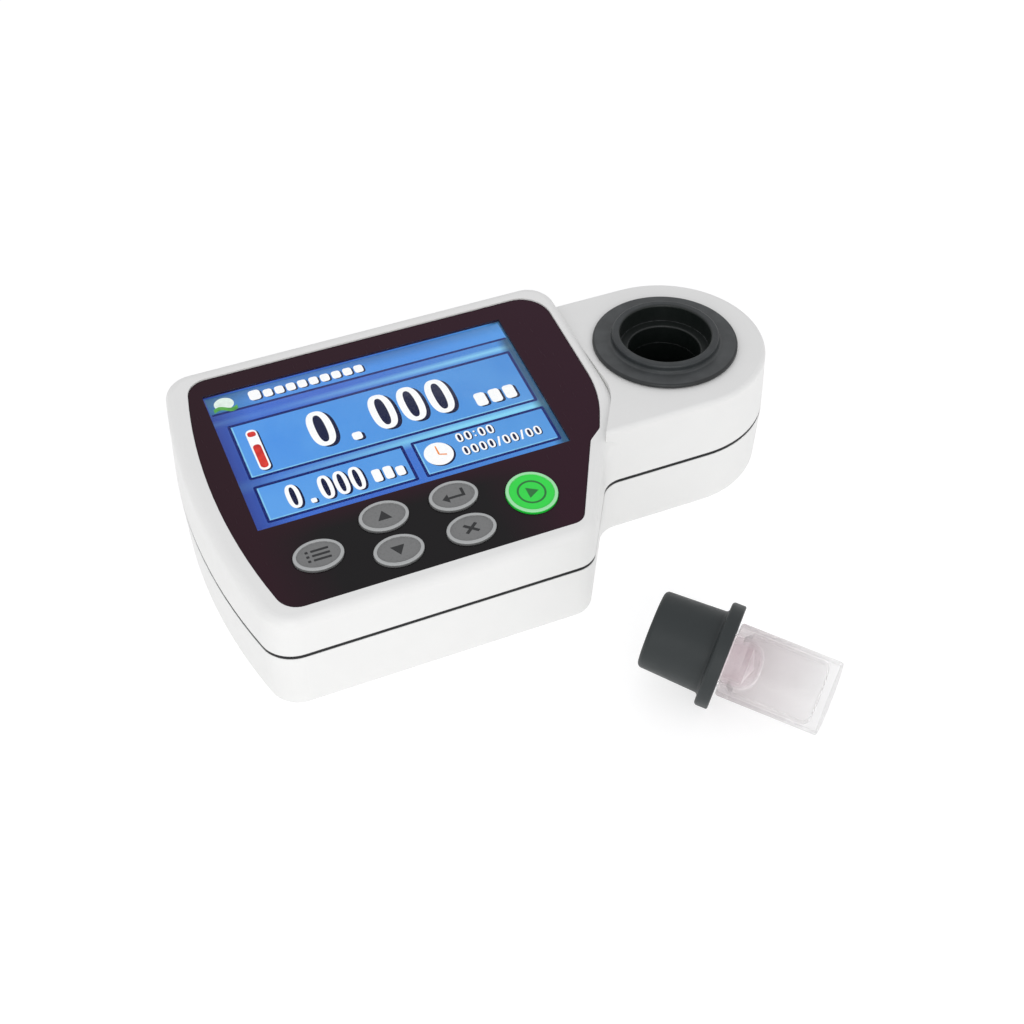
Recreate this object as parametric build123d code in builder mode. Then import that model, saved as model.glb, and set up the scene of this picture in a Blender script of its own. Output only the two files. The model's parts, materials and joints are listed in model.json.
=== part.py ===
from build123d import *
from math import atan, cos, degrees, radians, sin
import os

# A portable water colour tester: a two-shell case with a tilted face that carries the display and six keys,
# a round tail with a sample well, the optics and electronics inside, and a capped sample vial that lies
# beside it. Millimetres, +Z up. The origin is on the underside, straight below the axis of the well, and
# +X runs from the display to the end of the tail.

os.makedirs("parts", exist_ok=True)

# ---- Driving dimensions ------------------------------------------------------------------------------

WELL_REACH = 93.0        # display centre to well axis
SEAM_Z = 21.35           # middle of the joint between the two shells
SEAM_GAP = 1.25
GASKET_INSET = 0.15
FACE_Z = 42.0            # height of the face at the display centre
FACE_TILT = 7.1          # degrees, front edge lower
TAIL_TOP_Z = 41.5
TAIL_RADIUS = 32.2
TAIL_LAP = 0.2           # how far the tail block runs into the body block
TAIL_START = 30.0        # where the tail's outline begins, inside the body, from the display centre
TAIL_ROOT_X = -22.0      # the tail's free edges lie beyond this, from the well axis
TAIL_ROUND = 1.5
WALL = 2.5
DRAFT = 2.0              # degrees
DRAFT_ALLOWANCE = 0.6    # keeps the straight-sided lower hollow inside the drafted wall
DOORWAY_WIDTH = 50.0     # passage for the cables from the body to the tail
DOORWAY_DEPTH = 16.0
DOORWAY_HEIGHT = 11.0
RIM_PROUD = 0.5          # rim above the face panel
RIM_ROUND = 3.0
BASE_ROUND = 2.6
CLEARANCE = 0.2          # beside parts that slide
FIT = 0.1                # beside parts let into a recess
GAP = 0.05               # between stacked parts
TOUCH = 0.02             # between faces that rest on each other
THROUGH = 40.0           # longer than any cut that goes right through a shell
SPARE = 1.0              # how far a cut runs past the faces it opens

SEAM_TOP = SEAM_Z + SEAM_GAP / 2
SEAM_BOTTOM = SEAM_Z - SEAM_GAP / 2

# Plan of the main body at the seam, measured from the display centre
BODY_BACK = 39.3
BODY_FRONT = -61.4
BODY_RIGHT = 69.0
BODY_LEFT_BACK = (-57.2, BODY_BACK)
BODY_LEFT_BULGE = (-62.6, -7.0)
BODY_LEFT_FRONT = (-54.6, BODY_FRONT)
BODY_SHOULDER = (BODY_RIGHT, -14.1)
BODY_NOSE = (40.1, BODY_FRONT)
BACK_CORNER_RADIUS = 9.5
SHOULDER_RADIUS = 22.0
NOSE_RADIUS = 8.0
LEFT_FRONT_RADIUS = 10.0
TAIL_CORNER_FRONT = (57.9, -TAIL_RADIUS)
TAIL_CORNER_FRONT_RADIUS = 8.0
TAIL_CORNER_BACK = (68.7, TAIL_RADIUS)
TAIL_CORNER_BACK_RADIUS = 1.5

# Heel of the upper body, hidden under the tail's top; it carries the rim round the front inside corner
HEEL = (66.5, -TAIL_RADIUS)
HEEL_RADIUS = 4.0
HEEL_TOP = (BODY_RIGHT, -9.0)
HEEL_CORNERS = [
    (TAIL_CORNER_FRONT, TAIL_CORNER_FRONT_RADIUS),
    (HEEL, HEEL_RADIUS),
    (HEEL_TOP, SHOULDER_RADIUS),
]
SHOULDER_CORNERS = [(BODY_SHOULDER, SHOULDER_RADIUS)]

# Outline of the face panel, on the face, and the radius of each corner
PANEL_LEFT_BACK = (-50.6, 33.8)
PANEL_LEFT_BULGE = (-56.1, -9.0)
PANEL_LEFT_FRONT = (-49.1, -56.9)
PANEL_RIGHT_BACK = (64.4, 33.8)
PANEL_SHOULDER = (64.4, -12.8)
PANEL_HIP = (58.0, -26.2)
PANEL_WAIST = (53.4, -29.7)
PANEL_NOSE = (38.7, -56.9)
PANEL_CORNERS = [
    (PANEL_LEFT_BACK, 6.5),
    (PANEL_RIGHT_BACK, 9.5),
    (PANEL_SHOULDER, 40.0),
    (PANEL_HIP, 3.0),
    (PANEL_WAIST, 3.0),
    (PANEL_NOSE, 4.5),
    (PANEL_LEFT_FRONT, 6.5),
]

# Heights below the face, measured square to it
PANEL_THICK = 1.0
DECK_THICK = 2.0
DECK_BOTTOM = -PANEL_THICK - DECK_THICK
BOARD_TOP = -8.3
BOARD_THICK = 1.6
BOARD_BOTTOM = BOARD_TOP - BOARD_THICK

# Display
ACTIVE_SIZE = (95.04, 53.86)
MODULE_SIZE = (101.0, 60.6)
MODULE_OFFSET_Y = 2.0
WINDOW_MARGIN = 0.5      # clear window beyond the active area, each side
LCD_TOP = -1.05
LCD_THICK = 1.2
BACKLIGHT_TOP = LCD_TOP - LCD_THICK - GAP
BACKLIGHT_THICK = 1.6
FRAME_FLOOR = BACKLIGHT_TOP - BACKLIGHT_THICK - GAP
FRAME_THICK = 0.45
FRAME_CORNER = 0.6
FRAME_LIP = 0.2          # frame's top edge below the top of the display glass
FLEX_WIDTH = 16.0
FLEX_BEND_Y = 4.2
FLEX_LENGTH = 20.0
FLEX_THICK = 0.3
FLEX_SOCKET = (19.0, 4.0)
FLEX_SOCKET_HEIGHT = 1.05

# Keys: centre on the face for each
KEY_SIZE = (14.65, 10.75)
START_DIAMETER = 15.3
KEY_PLACES = {
    "key_set": (-35.2, -41.9),
    "key_up": (-13.6, -35.3),
    "key_down": (-13.9, -48.2),
    "key_enter": (7.5, -35.4),
    "key_cancel": (7.8, -48.3),
    "key_start": (29.0, -42.1),
}
KEY_PROUD = 0.9
KEY_ROUND = 0.4
KEY_RIM = 1.0
KEY_DISH = 0.3
KEY_FLANGE = 0.8
KEY_FLANGE_TOP = -3.1
KEY_FLANGE_THICK = 1.0
KEY_TRAVEL = 0.6
STEM_RADIUS = 1.65
STEM_BOTTOM = -6.4
SWITCH_SIZE = 6.0
SWITCH_TOP = KEY_FLANGE_TOP - KEY_FLANGE_THICK - KEY_TRAVEL - CLEARANCE

# Screws and posts
POST_RADIUS = 2.8
LOWER_POST_RADIUS = 4.2
POST_PLACES = [(-54.4, 14.0), (-48.5, -50.5), (36.0, -53.0), (58.5, 31.0), (110.5, -17.5), (110.5, 17.5)]
SCREW_RADIUS = 1.25
SCREW_HEAD_RADIUS = 2.4
SCREW_HEAD_THICK = 2.0
SCREW_TIP_Z = 29.5
SCREW_SEAT_Z = 8.0
PILOT_RADIUS = 1.3
PILOT_SPARE = 0.5        # a pilot hole's depth beyond the screw's tip
SCREW_HEAD_ROUND = 0.6
CROSS_SLOT = (2.6, 0.6)
CROSS_SLOT_DEPTH = 1.0
BOARD_BOSS_PLACES = [(56.0, 18.0), (56.0, -10.0), (-41.5, -32.0), (20.0, -32.0)]
BOARD_BOSS_RADIUS = 2.4
BOARD_SCREW_RADIUS = 0.85
BOARD_SCREW_REACH = 4.5
BOARD_SCREW_HEAD_RADIUS = 1.9
BOARD_SCREW_HEAD_THICK = 1.3
BOARD_CROSS_SLOT = (2.2, 0.5)
BOARD_CROSS_SLOT_DEPTH = 0.7

# Parts on the main board, in face coordinates
BOARD_CORNERS = [(-45.5, -49.0), (36.0, -49.0), (60.0, -14.0), (60.0, 24.0), (-45.5, 24.0)]
PROCESSOR_PLACE, PROCESSOR_SIZE = (0.0, -8.0), (12.0, 12.0)
DRIVER_PLACES, DRIVER_SIZE = [(22.0, 4.0), (22.0, -12.0)], (5.0, 6.2)
MEMORY_PLACE, MEMORY_SIZE = (-22.0, -4.0), (7.5, 6.0)
CHIP_THICK = 1.4
CHIP_BEVEL = 0.2
BUZZER_PLACE = (56.0, 4.0)
BUZZER_RADIUS = 4.5
BUZZER_HEIGHT = 4.0
BUZZER_PORT_RADIUS = 1.0
BUZZER_PORT_DEPTH = 2.0

# Sample well
WELL_RADIUS = 11.3
MOUTH_RADIUS = 14.2
MOUTH_FLOOR_Z = 39.5
COLLAR_TOP_Z = 45.7
COLLAR_RING_RADIUS = 16.8
COLLAR_FLANGE_RADIUS = 22.7
COLLAR_FLANGE_THICK = 1.2
COLLAR_SEAL_THICK = 0.4
COLLAR_SEAL_INSET = 0.5
COLLAR_FLANGE_ROUND = 0.7
COLLAR_FOOT_ROUND = 1.0
COLLAR_MOUTH_ROUND = 0.8
COLLAR_LEDGE_ROUND = 0.5
BARREL_RADIUS = 16.0
BARREL_BOTTOM_Z = 33.0
TUBE_RADIUS = 13.6
TUBE_FLOOR_Z = 14.0
TUBE_BASE_Z = 10.0
TUBE_BASE_RADIUS = 18.0
TUBE_BASE_THICK = 3.0
TUBE_RING_WIDTH = 4.0    # ring on the case floor that carries the tube
NUT_RADIUS = 20.0
NUT_SIDES = 12
NUT_THICK = 3.5
LIGHT_Z = 24.0
LIGHT_APERTURE = 1.5
BOSS_REACH = 20.0
LAMP_BOSS_RADIUS = 4.2
LAMP_POCKET_START = 13.2
LAMP_RADIUS = 2.5
LAMP_RIM = 0.4
LAMP_RIM_THICK = 0.88
LAMP_LENGTH = 3.6
LAMP_ROUND = 1.9
RECEIVER_BOSS_RADIUS = 6.0
FILTER_RADIUS = 4.0
FILTER_START = 14.4
FILTER_THICK = 1.6
PHOTODIODE_RADIUS = 3.8
PHOTODIODE_START = FILTER_START + FILTER_THICK + CLEARANCE
PHOTODIODE_END = BOSS_REACH + 0.9
PHOTODIODE_ROUND = 0.5
SIDE_BOARD_SIZE = 16.0
SIDE_BOARD_CORNER = 1.0
SIDE_BOARD_THICK = 1.2
SIDE_BOARD_START = BOSS_REACH + 0.95
SIDE_BOARD_RISE = 1.0    # board centre above the light path
SOCKET_SIZE = (6.0, 3.0)
SOCKET_LENGTH = 3.0
SOCKET_RISE = 4.5

# Battery compartment, measured from the display centre
CELL_RADIUS = 7.2
CELL_LENGTH = 50.0
CELL_PITCH = 15.0
CELL_COUNT = 4
BATTERY_CENTRE = (-15.0, -8.0)
BATTERY_ROOM = (61.0, 60.0)
BATTERY_ROOF_Z = 17.6
BATTERY_WALL = 1.5
BATTERY_CORNER = 1.5
BATTERY_ROOF_THICK = 1.4
CELL_BUTTON_RADIUS = 2.7
CELL_BUTTON_HEIGHT = 1.2
CELL_ROUND = 0.7
CONTACT_THICK = 0.5
CONTACT_SIZE = 11.0
CONTACT_STUD_RADIUS = 3.4
SPRING_RADIUS = 4.2
SPRING_WIRE_RADIUS = 0.3
SPRING_PITCH = 1.2
COVER_THICK = 1.9
COVER_LEDGE_Z = 2.0
COVER_LAP = 2.8
COVER_CORNER = 4.0
COVER_EAR_REACH = 1.5    # screw centre beyond the cover's edge
FLOOR_PAD_Z = 4.6
FLOOR_PAD_MARGIN = 2.5
EAR_RADIUS = 4.0
EAR_TOP_Z = 10.0
SEAL_INNER_MARGIN = 0.8  # seal groove's inner edge beyond the battery room
SEAL_OUTER_MARGIN = 2.1
SEAL_DEPTH = 0.8
RIB_PLACE_Y = -22.0      # finger ribs on the cover
RIB_COUNT = 5
RIB_PITCH = 2.4
RIB_SIZE = (24.0, 1.0)
RIB_DEPTH = 0.5
CABLE_RADIUS = 0.9
BATTERY_WIRE_Z = 14.0
BATTERY_WIRE_X = BATTERY_CENTRE[0] + BATTERY_ROOM[0] / 2 - WELL_REACH
COVER_SCREW_RADIUS = 1.2
COVER_SCREW_HEAD_RADIUS = 2.3
COVER_SCREW_HEAD_DEPTH = 1.1
COVER_SCREW_TIP_Z = 8.5
COVER_CROSS_SLOT = (2.2, 0.5)
COVER_CROSS_SLOT_DEPTH = 0.7

# Anti-slip pads, let into the underside
PAD_PLACES = [(-43.0, 31.0), (-36.0, -50.0), (26.0, -52.0), (47.0, 30.0), (116.5, 0.0)]
PAD_RADIUS = 4.5
PAD_THICK = 1.2

# Vial and cap, along the vial's own axis from the outside of its base
VIAL_RADIUS = 10.7
VIAL_WALL = 1.5
VIAL_BASE_THICK = 3.0
VIAL_BASE_ROUND = 0.5
VIAL_INNER_ROUND = 2.0
VIAL_SHOULDER_ROUND = 1.0
VIAL_SHOULDER_DROP = 2.2 # inside, the shoulder starts this far below the outside one
VIAL_SHOULDER_SLOPE = 2.0
NECK_ROUND = 0.4
VIAL_EXPOSED = 30.0
NECK_RADIUS = 8.6
NECK_WALL = 1.3
NECK_LENGTH = 12.0
CAP_LENGTH = 22.4
CAP_FLANGE_RADIUS = 15.25
CAP_FLANGE_THICK = 4.0
CAP_RADIUS_LOW = 12.1
CAP_RADIUS_HIGH = 11.3
CAP_ROOF_THICK = 9.4
CAP_UNDERSIDE_ROUND = 0.5
CAP_FLANGE_ROUND = 0.9
CAP_FOOT_ROUND = 1.0
CAP_TOP_ROUND = 1.4
CAP_NOTCH_ANGLE = 60.0
CAP_NOTCH_RADIUS = 1.4
PLUG_TIP = 20.0
PLUG_WALL = 1.6
PLUG_FLOOR = 2.0
PLUG_ROUND = 5.5
VIAL_FOOT = (-10.8, -124.0)     # centre of the base, in plan, as it lies
VIAL_HEADING = 135.0            # degrees from +X, from the base towards the cap

FACE_PLANE = Plane(origin=(-WELL_REACH, 0, FACE_Z), x_dir=(1, 0, 0),
                   z_dir=(0, -sin(radians(FACE_TILT)), cos(radians(FACE_TILT))))


# ---- Shared shapes -----------------------------------------------------------------------------------

def face_level(height):
    """The plane parallel to the face at a height above it; its origin is over the display centre."""
    return FACE_PLANE.offset(height)


def plan_level(height):
    """The level plane at a height above the table; its origin is under the display centre."""
    return Plane(origin=(-WELL_REACH, 0, height))


def well_level(height):
    """The level plane at a height above the table, centred on the well axis."""
    return Plane.XY.offset(height)


def round_corners(corners):
    """Round the sketch's corners nearest to each listed point."""
    for point, radius in corners:
        fillet(vertices().sort_by_distance(Vector(*point))[0], radius=radius)


def draw_body_outline(heel=False):
    """Plan of the main body: bowed left side, straight back and front, and a cut-away right front side."""
    right_side = HEEL_CORNERS if heel else SHOULDER_CORNERS
    right_points = [point for point, radius in right_side]
    right_back = (BODY_RIGHT, BODY_BACK)
    with BuildLine() as outline:
        Polyline(BODY_LEFT_FRONT, BODY_NOSE, *right_points, right_back, BODY_LEFT_BACK)
        ThreePointArc(BODY_LEFT_BACK, BODY_LEFT_BULGE, BODY_LEFT_FRONT)
    make_face(outline.edges())
    round_corners([
        (BODY_LEFT_BACK, BACK_CORNER_RADIUS),
        (right_back, BACK_CORNER_RADIUS),
        (BODY_NOSE, NOSE_RADIUS),
        (BODY_LEFT_FRONT, LEFT_FRONT_RADIUS),
        *right_side,
    ])


def draw_tail_outline(radius, start_x):
    """Plan of the tail: round about the well axis, with straight flanks back to start_x."""
    with Locations((WELL_REACH, 0)):
        Circle(radius)
    with Locations(((start_x + WELL_REACH) / 2, 0)):
        Rectangle(WELL_REACH - start_x, 2 * radius)


def draw_case_outline():
    """Plan of the whole case at the seam, with soft inside corners where the tail joins the body."""
    draw_body_outline()
    draw_tail_outline(TAIL_RADIUS, TAIL_START)
    round_corners([
        (TAIL_CORNER_FRONT, TAIL_CORNER_FRONT_RADIUS),
        (TAIL_CORNER_BACK, TAIL_CORNER_BACK_RADIUS),
    ])


def draw_panel_outline():
    """Outline of the dark face panel, on the face."""
    with BuildLine() as outline:
        Polyline(PANEL_LEFT_FRONT, PANEL_NOSE, PANEL_WAIST, PANEL_HIP, PANEL_SHOULDER, PANEL_RIGHT_BACK,
                 PANEL_LEFT_BACK)
        ThreePointArc(PANEL_LEFT_BACK, PANEL_LEFT_BULGE, PANEL_LEFT_FRONT)
    make_face(outline.edges())
    round_corners(PANEL_CORNERS)


def draw_key_shape(name, margin, mode=Mode.ADD):
    """Outline of one key on the face, larger by a margin on every side."""
    with Locations(KEY_PLACES[name]):
        if name == "key_start":
            Circle(START_DIAMETER / 2 + margin, mode=mode)
        else:
            Ellipse(KEY_SIZE[0] / 2 + margin, KEY_SIZE[1] / 2 + margin, mode=mode)


def draw_window_rectangle(margin, mode=Mode.ADD):
    """Outline of the display's active area, larger by a margin on every side."""
    Rectangle(ACTIVE_SIZE[0] + 2 * margin, ACTIVE_SIZE[1] + 2 * margin, mode=mode)


def draw_module_rectangle(margin, corner=0):
    """Outline of the display module on the face, larger by a margin on every side."""
    width = MODULE_SIZE[0] + 2 * margin
    height = MODULE_SIZE[1] + 2 * margin
    with Locations((0, MODULE_OFFSET_Y)):
        if corner:
            RectangleRounded(width, height, corner)
        else:
            Rectangle(width, height)


def draw_battery_rectangle(margin, corner, mode=Mode.ADD):
    """A rounded rectangle larger than the battery room by a margin on every side."""
    with Locations(BATTERY_CENTRE):
        RectangleRounded(BATTERY_ROOM[0] + 2 * margin, BATTERY_ROOM[1] + 2 * margin, corner, mode=mode)


def draw_seal_ring(slack):
    """Outline of the battery cover's seal; a negative slack gives the seal its own, slimmer, outline."""
    draw_battery_rectangle(SEAL_OUTER_MARGIN + slack, SEAL_OUTER_MARGIN + slack)
    draw_battery_rectangle(SEAL_INNER_MARGIN - slack, SEAL_INNER_MARGIN - slack, Mode.SUBTRACT)


def draw_cross(places, size):
    """The two crossed slots of each screw head."""
    with Locations(*places):
        Rectangle(size[0], size[1])
        Rectangle(size[1], size[0])


def draw_battery_cover_outline(margin):
    """Outline of the battery cover: a rounded rectangle with a screw ear at each end."""
    draw_battery_rectangle(COVER_LAP + margin, COVER_CORNER)
    with Locations(*cover_screw_places()):
        Circle(EAR_RADIUS + margin)


def cover_screw_places():
    """Plan positions of the two battery cover screws."""
    reach = BATTERY_ROOM[1] / 2 + COVER_LAP + COVER_EAR_REACH
    return [(BATTERY_CENTRE[0], BATTERY_CENTRE[1] + reach), (BATTERY_CENTRE[0], BATTERY_CENTRE[1] - reach)]


def cell_rows():
    """For each cell, its sideways place from the compartment's middle and the way it points along Y."""
    return [((i - (CELL_COUNT - 1) / 2) * CELL_PITCH, 1 if i % 2 == 0 else -1) for i in range(CELL_COUNT)]


def save(piece, name):
    """Label a finished piece and write it to its own file."""
    piece.part.label = name
    export_step(piece.part, f"parts/{name}.step")


# ---- Upper case --------------------------------------------------------------------------------------

# The body's bulk a little inside its walls, which the tail block ends against
with BuildPart() as body_core:
    with BuildSketch(plan_level(SEAM_TOP)):
        draw_body_outline()
        offset(amount=-TAIL_LAP)
    extrude(amount=THROUGH, taper=DRAFT)

with BuildPart() as tail_block:
    with BuildSketch(plan_level(SEAM_TOP)):
        draw_tail_outline(TAIL_RADIUS, TAIL_START)
    extrude(amount=TAIL_TOP_Z - SEAM_TOP, taper=DRAFT)
    add(body_core.part, mode=Mode.SUBTRACT)
    outer_edges = faces().sort_by(Axis.Z)[-1].edges().filter_by(lambda edge: edge.center().X > TAIL_ROOT_X)
    fillet(outer_edges, radius=TAIL_ROUND)

# The hollow inside the upper shell, less its screw posts and board bosses
with BuildPart() as upper_hollow:
    with BuildSketch(plan_level(SEAM_TOP)):
        draw_body_outline()
        offset(amount=-WALL)
    extrude(amount=THROUGH, taper=DRAFT)
    split(bisect_by=face_level(DECK_BOTTOM), keep=Keep.BOTTOM)
    # the tail's own hollow begins beyond the body's right wall, and a doorway through the wall joins them
    with BuildSketch(plan_level(SEAM_TOP)):
        draw_tail_outline(TAIL_RADIUS - WALL, BODY_RIGHT)
        with Locations((BODY_RIGHT, 0)):
            Rectangle(TAIL_RADIUS, 2 * TAIL_RADIUS, align=(Align.MAX, Align.CENTER), mode=Mode.SUBTRACT)
    extrude(amount=TAIL_TOP_Z - WALL - SEAM_TOP, taper=DRAFT)
    with BuildSketch(plan_level(SEAM_TOP)):
        with Locations((BODY_RIGHT - DOORWAY_DEPTH / 2 + WALL, 0)):
            Rectangle(DOORWAY_DEPTH, DOORWAY_WIDTH)
    extrude(amount=DOORWAY_HEIGHT)
    with BuildSketch(plan_level(SEAM_TOP)):
        with Locations(*POST_PLACES):
            Circle(POST_RADIUS)
    extrude(amount=THROUGH, mode=Mode.SUBTRACT)
    with BuildSketch(face_level(BOARD_TOP + GAP)):
        with Locations(*BOARD_BOSS_PLACES):
            Circle(BOARD_BOSS_RADIUS)
    extrude(amount=-BOARD_TOP, mode=Mode.SUBTRACT)

with BuildPart() as upper_case:
    with BuildSketch(plan_level(SEAM_TOP)):
        draw_body_outline(heel=True)
    extrude(amount=THROUGH, taper=DRAFT)
    split(bisect_by=face_level(RIM_PROUD), keep=Keep.BOTTOM)
    fillet(faces().sort_by(Axis.Z)[-1].edges(), radius=RIM_ROUND)
    add(tail_block.part)
    add(upper_hollow.part, mode=Mode.SUBTRACT)
    # recess for the face panel
    with BuildSketch(face_level(-PANEL_THICK)):
        draw_panel_outline()
        offset(amount=FIT)
    extrude(amount=THROUGH, mode=Mode.SUBTRACT)
    # openings in the deck for the display module and the keys
    with BuildSketch(face_level(DECK_BOTTOM - SPARE)):
        draw_module_rectangle(CLEARANCE)
        for key_name in KEY_PLACES:
            draw_key_shape(key_name, CLEARANCE)
    extrude(amount=DECK_THICK + 2 * SPARE, mode=Mode.SUBTRACT)
    # well opening, screw pilots and board pilots
    with BuildSketch(well_level(TAIL_TOP_Z - WALL - SPARE)):
        Circle(BARREL_RADIUS + FIT)
    extrude(amount=WALL + 2 * SPARE, mode=Mode.SUBTRACT)
    with BuildSketch(plan_level(SEAM_TOP)):
        with Locations(*POST_PLACES):
            Circle(PILOT_RADIUS)
    extrude(amount=SCREW_TIP_Z + PILOT_SPARE - SEAM_TOP, mode=Mode.SUBTRACT)
    with BuildSketch(face_level(BOARD_TOP)):
        with Locations(*BOARD_BOSS_PLACES):
            Circle(BOARD_SCREW_RADIUS + GAP)
    extrude(amount=BOARD_SCREW_REACH + PILOT_SPARE, mode=Mode.SUBTRACT)
save(upper_case, "upper_case")


# ---- Lower case --------------------------------------------------------------------------------------

# The hollow inside the lower shell, less the posts, the floor pad and the battery compartment
with BuildPart() as lower_hollow:
    with BuildSketch(plan_level(WALL)):
        draw_case_outline()
        offset(amount=-WALL - DRAFT_ALLOWANCE)
    extrude(amount=SEAM_BOTTOM - WALL)
    with BuildSketch(plan_level(WALL)):
        with Locations(*POST_PLACES):
            Circle(LOWER_POST_RADIUS)
        draw_battery_rectangle(BATTERY_WALL, BATTERY_CORNER)
    extrude(amount=BATTERY_ROOF_Z + BATTERY_ROOF_THICK - WALL, mode=Mode.SUBTRACT)
    with BuildSketch(plan_level(BATTERY_ROOF_Z)):
        with Locations(*POST_PLACES):
            Circle(LOWER_POST_RADIUS)
    extrude(amount=SEAM_Z - BATTERY_ROOF_Z, mode=Mode.SUBTRACT)
    with BuildSketch(plan_level(WALL)):
        draw_battery_cover_outline(FLOOR_PAD_MARGIN)
    extrude(amount=FLOOR_PAD_Z - WALL, mode=Mode.SUBTRACT)
    with BuildSketch(plan_level(WALL)):
        with Locations(*cover_screw_places()):
            Circle(EAR_RADIUS)
    extrude(amount=EAR_TOP_Z - WALL, mode=Mode.SUBTRACT)
    with BuildSketch(well_level(WALL)):
        Circle(TUBE_BASE_RADIUS)
        Circle(TUBE_BASE_RADIUS - TUBE_RING_WIDTH, mode=Mode.SUBTRACT)
    extrude(amount=TUBE_BASE_Z - WALL, mode=Mode.SUBTRACT)

with BuildPart() as lower_case:
    with BuildSketch(Plane(origin=(-WELL_REACH, 0, SEAM_BOTTOM), x_dir=(1, 0, 0), z_dir=(0, 0, -1))):
        draw_case_outline()
        mirror(about=Plane.XZ, mode=Mode.REPLACE)
    extrude(amount=SEAM_BOTTOM, taper=DRAFT)
    fillet(faces().sort_by(Axis.Z)[0].edges(), radius=BASE_ROUND)
    add(lower_hollow.part, mode=Mode.SUBTRACT)
    # battery compartment, its cover recess and the seal groove
    with BuildSketch(plan_level(0)):
        with Locations(BATTERY_CENTRE):
            Rectangle(*BATTERY_ROOM)
    extrude(amount=BATTERY_ROOF_Z, mode=Mode.SUBTRACT)
    with BuildSketch(plan_level(0)):
        draw_battery_cover_outline(FIT)
    extrude(amount=COVER_LEDGE_Z, mode=Mode.SUBTRACT)
    with BuildSketch(plan_level(COVER_LEDGE_Z)):
        draw_seal_ring(0)
    extrude(amount=SEAL_DEPTH, mode=Mode.SUBTRACT)
    with BuildSketch(plan_level(0)):
        with Locations(*cover_screw_places()):
            Circle(COVER_SCREW_RADIUS + GAP)
    extrude(amount=COVER_SCREW_TIP_Z + PILOT_SPARE, mode=Mode.SUBTRACT)
    # screw passages
    with BuildSketch(plan_level(0)):
        with Locations(*POST_PLACES):
            Circle(POST_RADIUS)
    extrude(amount=SCREW_SEAT_Z, mode=Mode.SUBTRACT)
    with BuildSketch(plan_level(0)):
        with Locations(*POST_PLACES):
            Circle(SCREW_RADIUS + CLEARANCE)
    extrude(amount=SEAM_TOP, mode=Mode.SUBTRACT)
    # passage for the battery cable through the compartment wall
    with BuildSketch(Plane(origin=(BATTERY_WIRE_X, 0, BATTERY_WIRE_Z), x_dir=(0, 1, 0), z_dir=(1, 0, 0))):
        Circle(CABLE_RADIUS + CLEARANCE)
    extrude(amount=2 * BATTERY_WALL, both=True, mode=Mode.SUBTRACT)
    # recesses for the base pads
    with BuildSketch(plan_level(0)):
        with Locations(*PAD_PLACES):
            Circle(PAD_RADIUS + FIT)
    extrude(amount=PAD_THICK + FIT, mode=Mode.SUBTRACT)
save(lower_case, "lower_case")

with BuildPart() as case_gasket:
    with BuildSketch(plan_level(SEAM_BOTTOM + TOUCH)):
        draw_case_outline()
        offset(amount=-GASKET_INSET)
    with BuildSketch(plan_level(SEAM_BOTTOM + TOUCH)) as gasket_hole:
        draw_case_outline()
        offset(amount=-WALL + FIT)
    extrude(amount=SEAM_GAP - 2 * TOUCH)
    extrude(gasket_hole.sketch, amount=SEAM_GAP - 2 * TOUCH, mode=Mode.SUBTRACT)
save(case_gasket, "case_gasket")

with BuildPart() as base_pads:
    with BuildSketch(plan_level(0)):
        with Locations(*PAD_PLACES):
            Circle(PAD_RADIUS)
    extrude(amount=PAD_THICK)
save(base_pads, "base_pads")

with BuildPart() as case_screws:
    with BuildSketch(plan_level(SCREW_SEAT_Z)):
        with Locations(*POST_PLACES):
            Circle(SCREW_HEAD_RADIUS)
    extrude(amount=-SCREW_HEAD_THICK)
    fillet(faces().filter_by(Plane.XY).group_by(Axis.Z)[0].edges(), radius=SCREW_HEAD_ROUND)
    with BuildSketch(plan_level(SCREW_SEAT_Z)):
        with Locations(*POST_PLACES):
            Circle(SCREW_RADIUS)
    extrude(amount=SCREW_TIP_Z - SCREW_SEAT_Z)
    with BuildSketch(plan_level(SCREW_SEAT_Z - SCREW_HEAD_THICK)):
        draw_cross(POST_PLACES, CROSS_SLOT)
    extrude(amount=CROSS_SLOT_DEPTH, mode=Mode.SUBTRACT)
save(case_screws, "case_screws")


# ---- Battery compartment -----------------------------------------------------------------------------

with BuildPart() as battery_cover:
    with BuildSketch(plan_level(0)):
        draw_battery_cover_outline(0)
    extrude(amount=COVER_THICK)
    # finger ribs near one end
    with BuildSketch(plan_level(0)):
        with Locations((BATTERY_CENTRE[0], BATTERY_CENTRE[1] + RIB_PLACE_Y)):
            with GridLocations(0, RIB_PITCH, 1, RIB_COUNT):
                SlotOverall(*RIB_SIZE)
    extrude(amount=RIB_DEPTH, mode=Mode.SUBTRACT)
    # cone seats and passages for the two screws
    with Locations(*[(x - WELL_REACH, y, 0) for x, y in cover_screw_places()]):
        Cone(COVER_SCREW_HEAD_RADIUS + FIT, COVER_SCREW_RADIUS + FIT, COVER_SCREW_HEAD_DEPTH,
             align=(Align.CENTER, Align.CENTER, Align.MIN), mode=Mode.SUBTRACT)
        Cylinder(COVER_SCREW_RADIUS + FIT, 2 * COVER_THICK, mode=Mode.SUBTRACT)
save(battery_cover, "battery_cover")

with BuildPart() as cover_seal:
    with BuildSketch(plan_level(COVER_THICK + GAP)):
        draw_seal_ring(-FIT)
    extrude(amount=SEAL_DEPTH)
save(cover_seal, "cover_seal")

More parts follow.
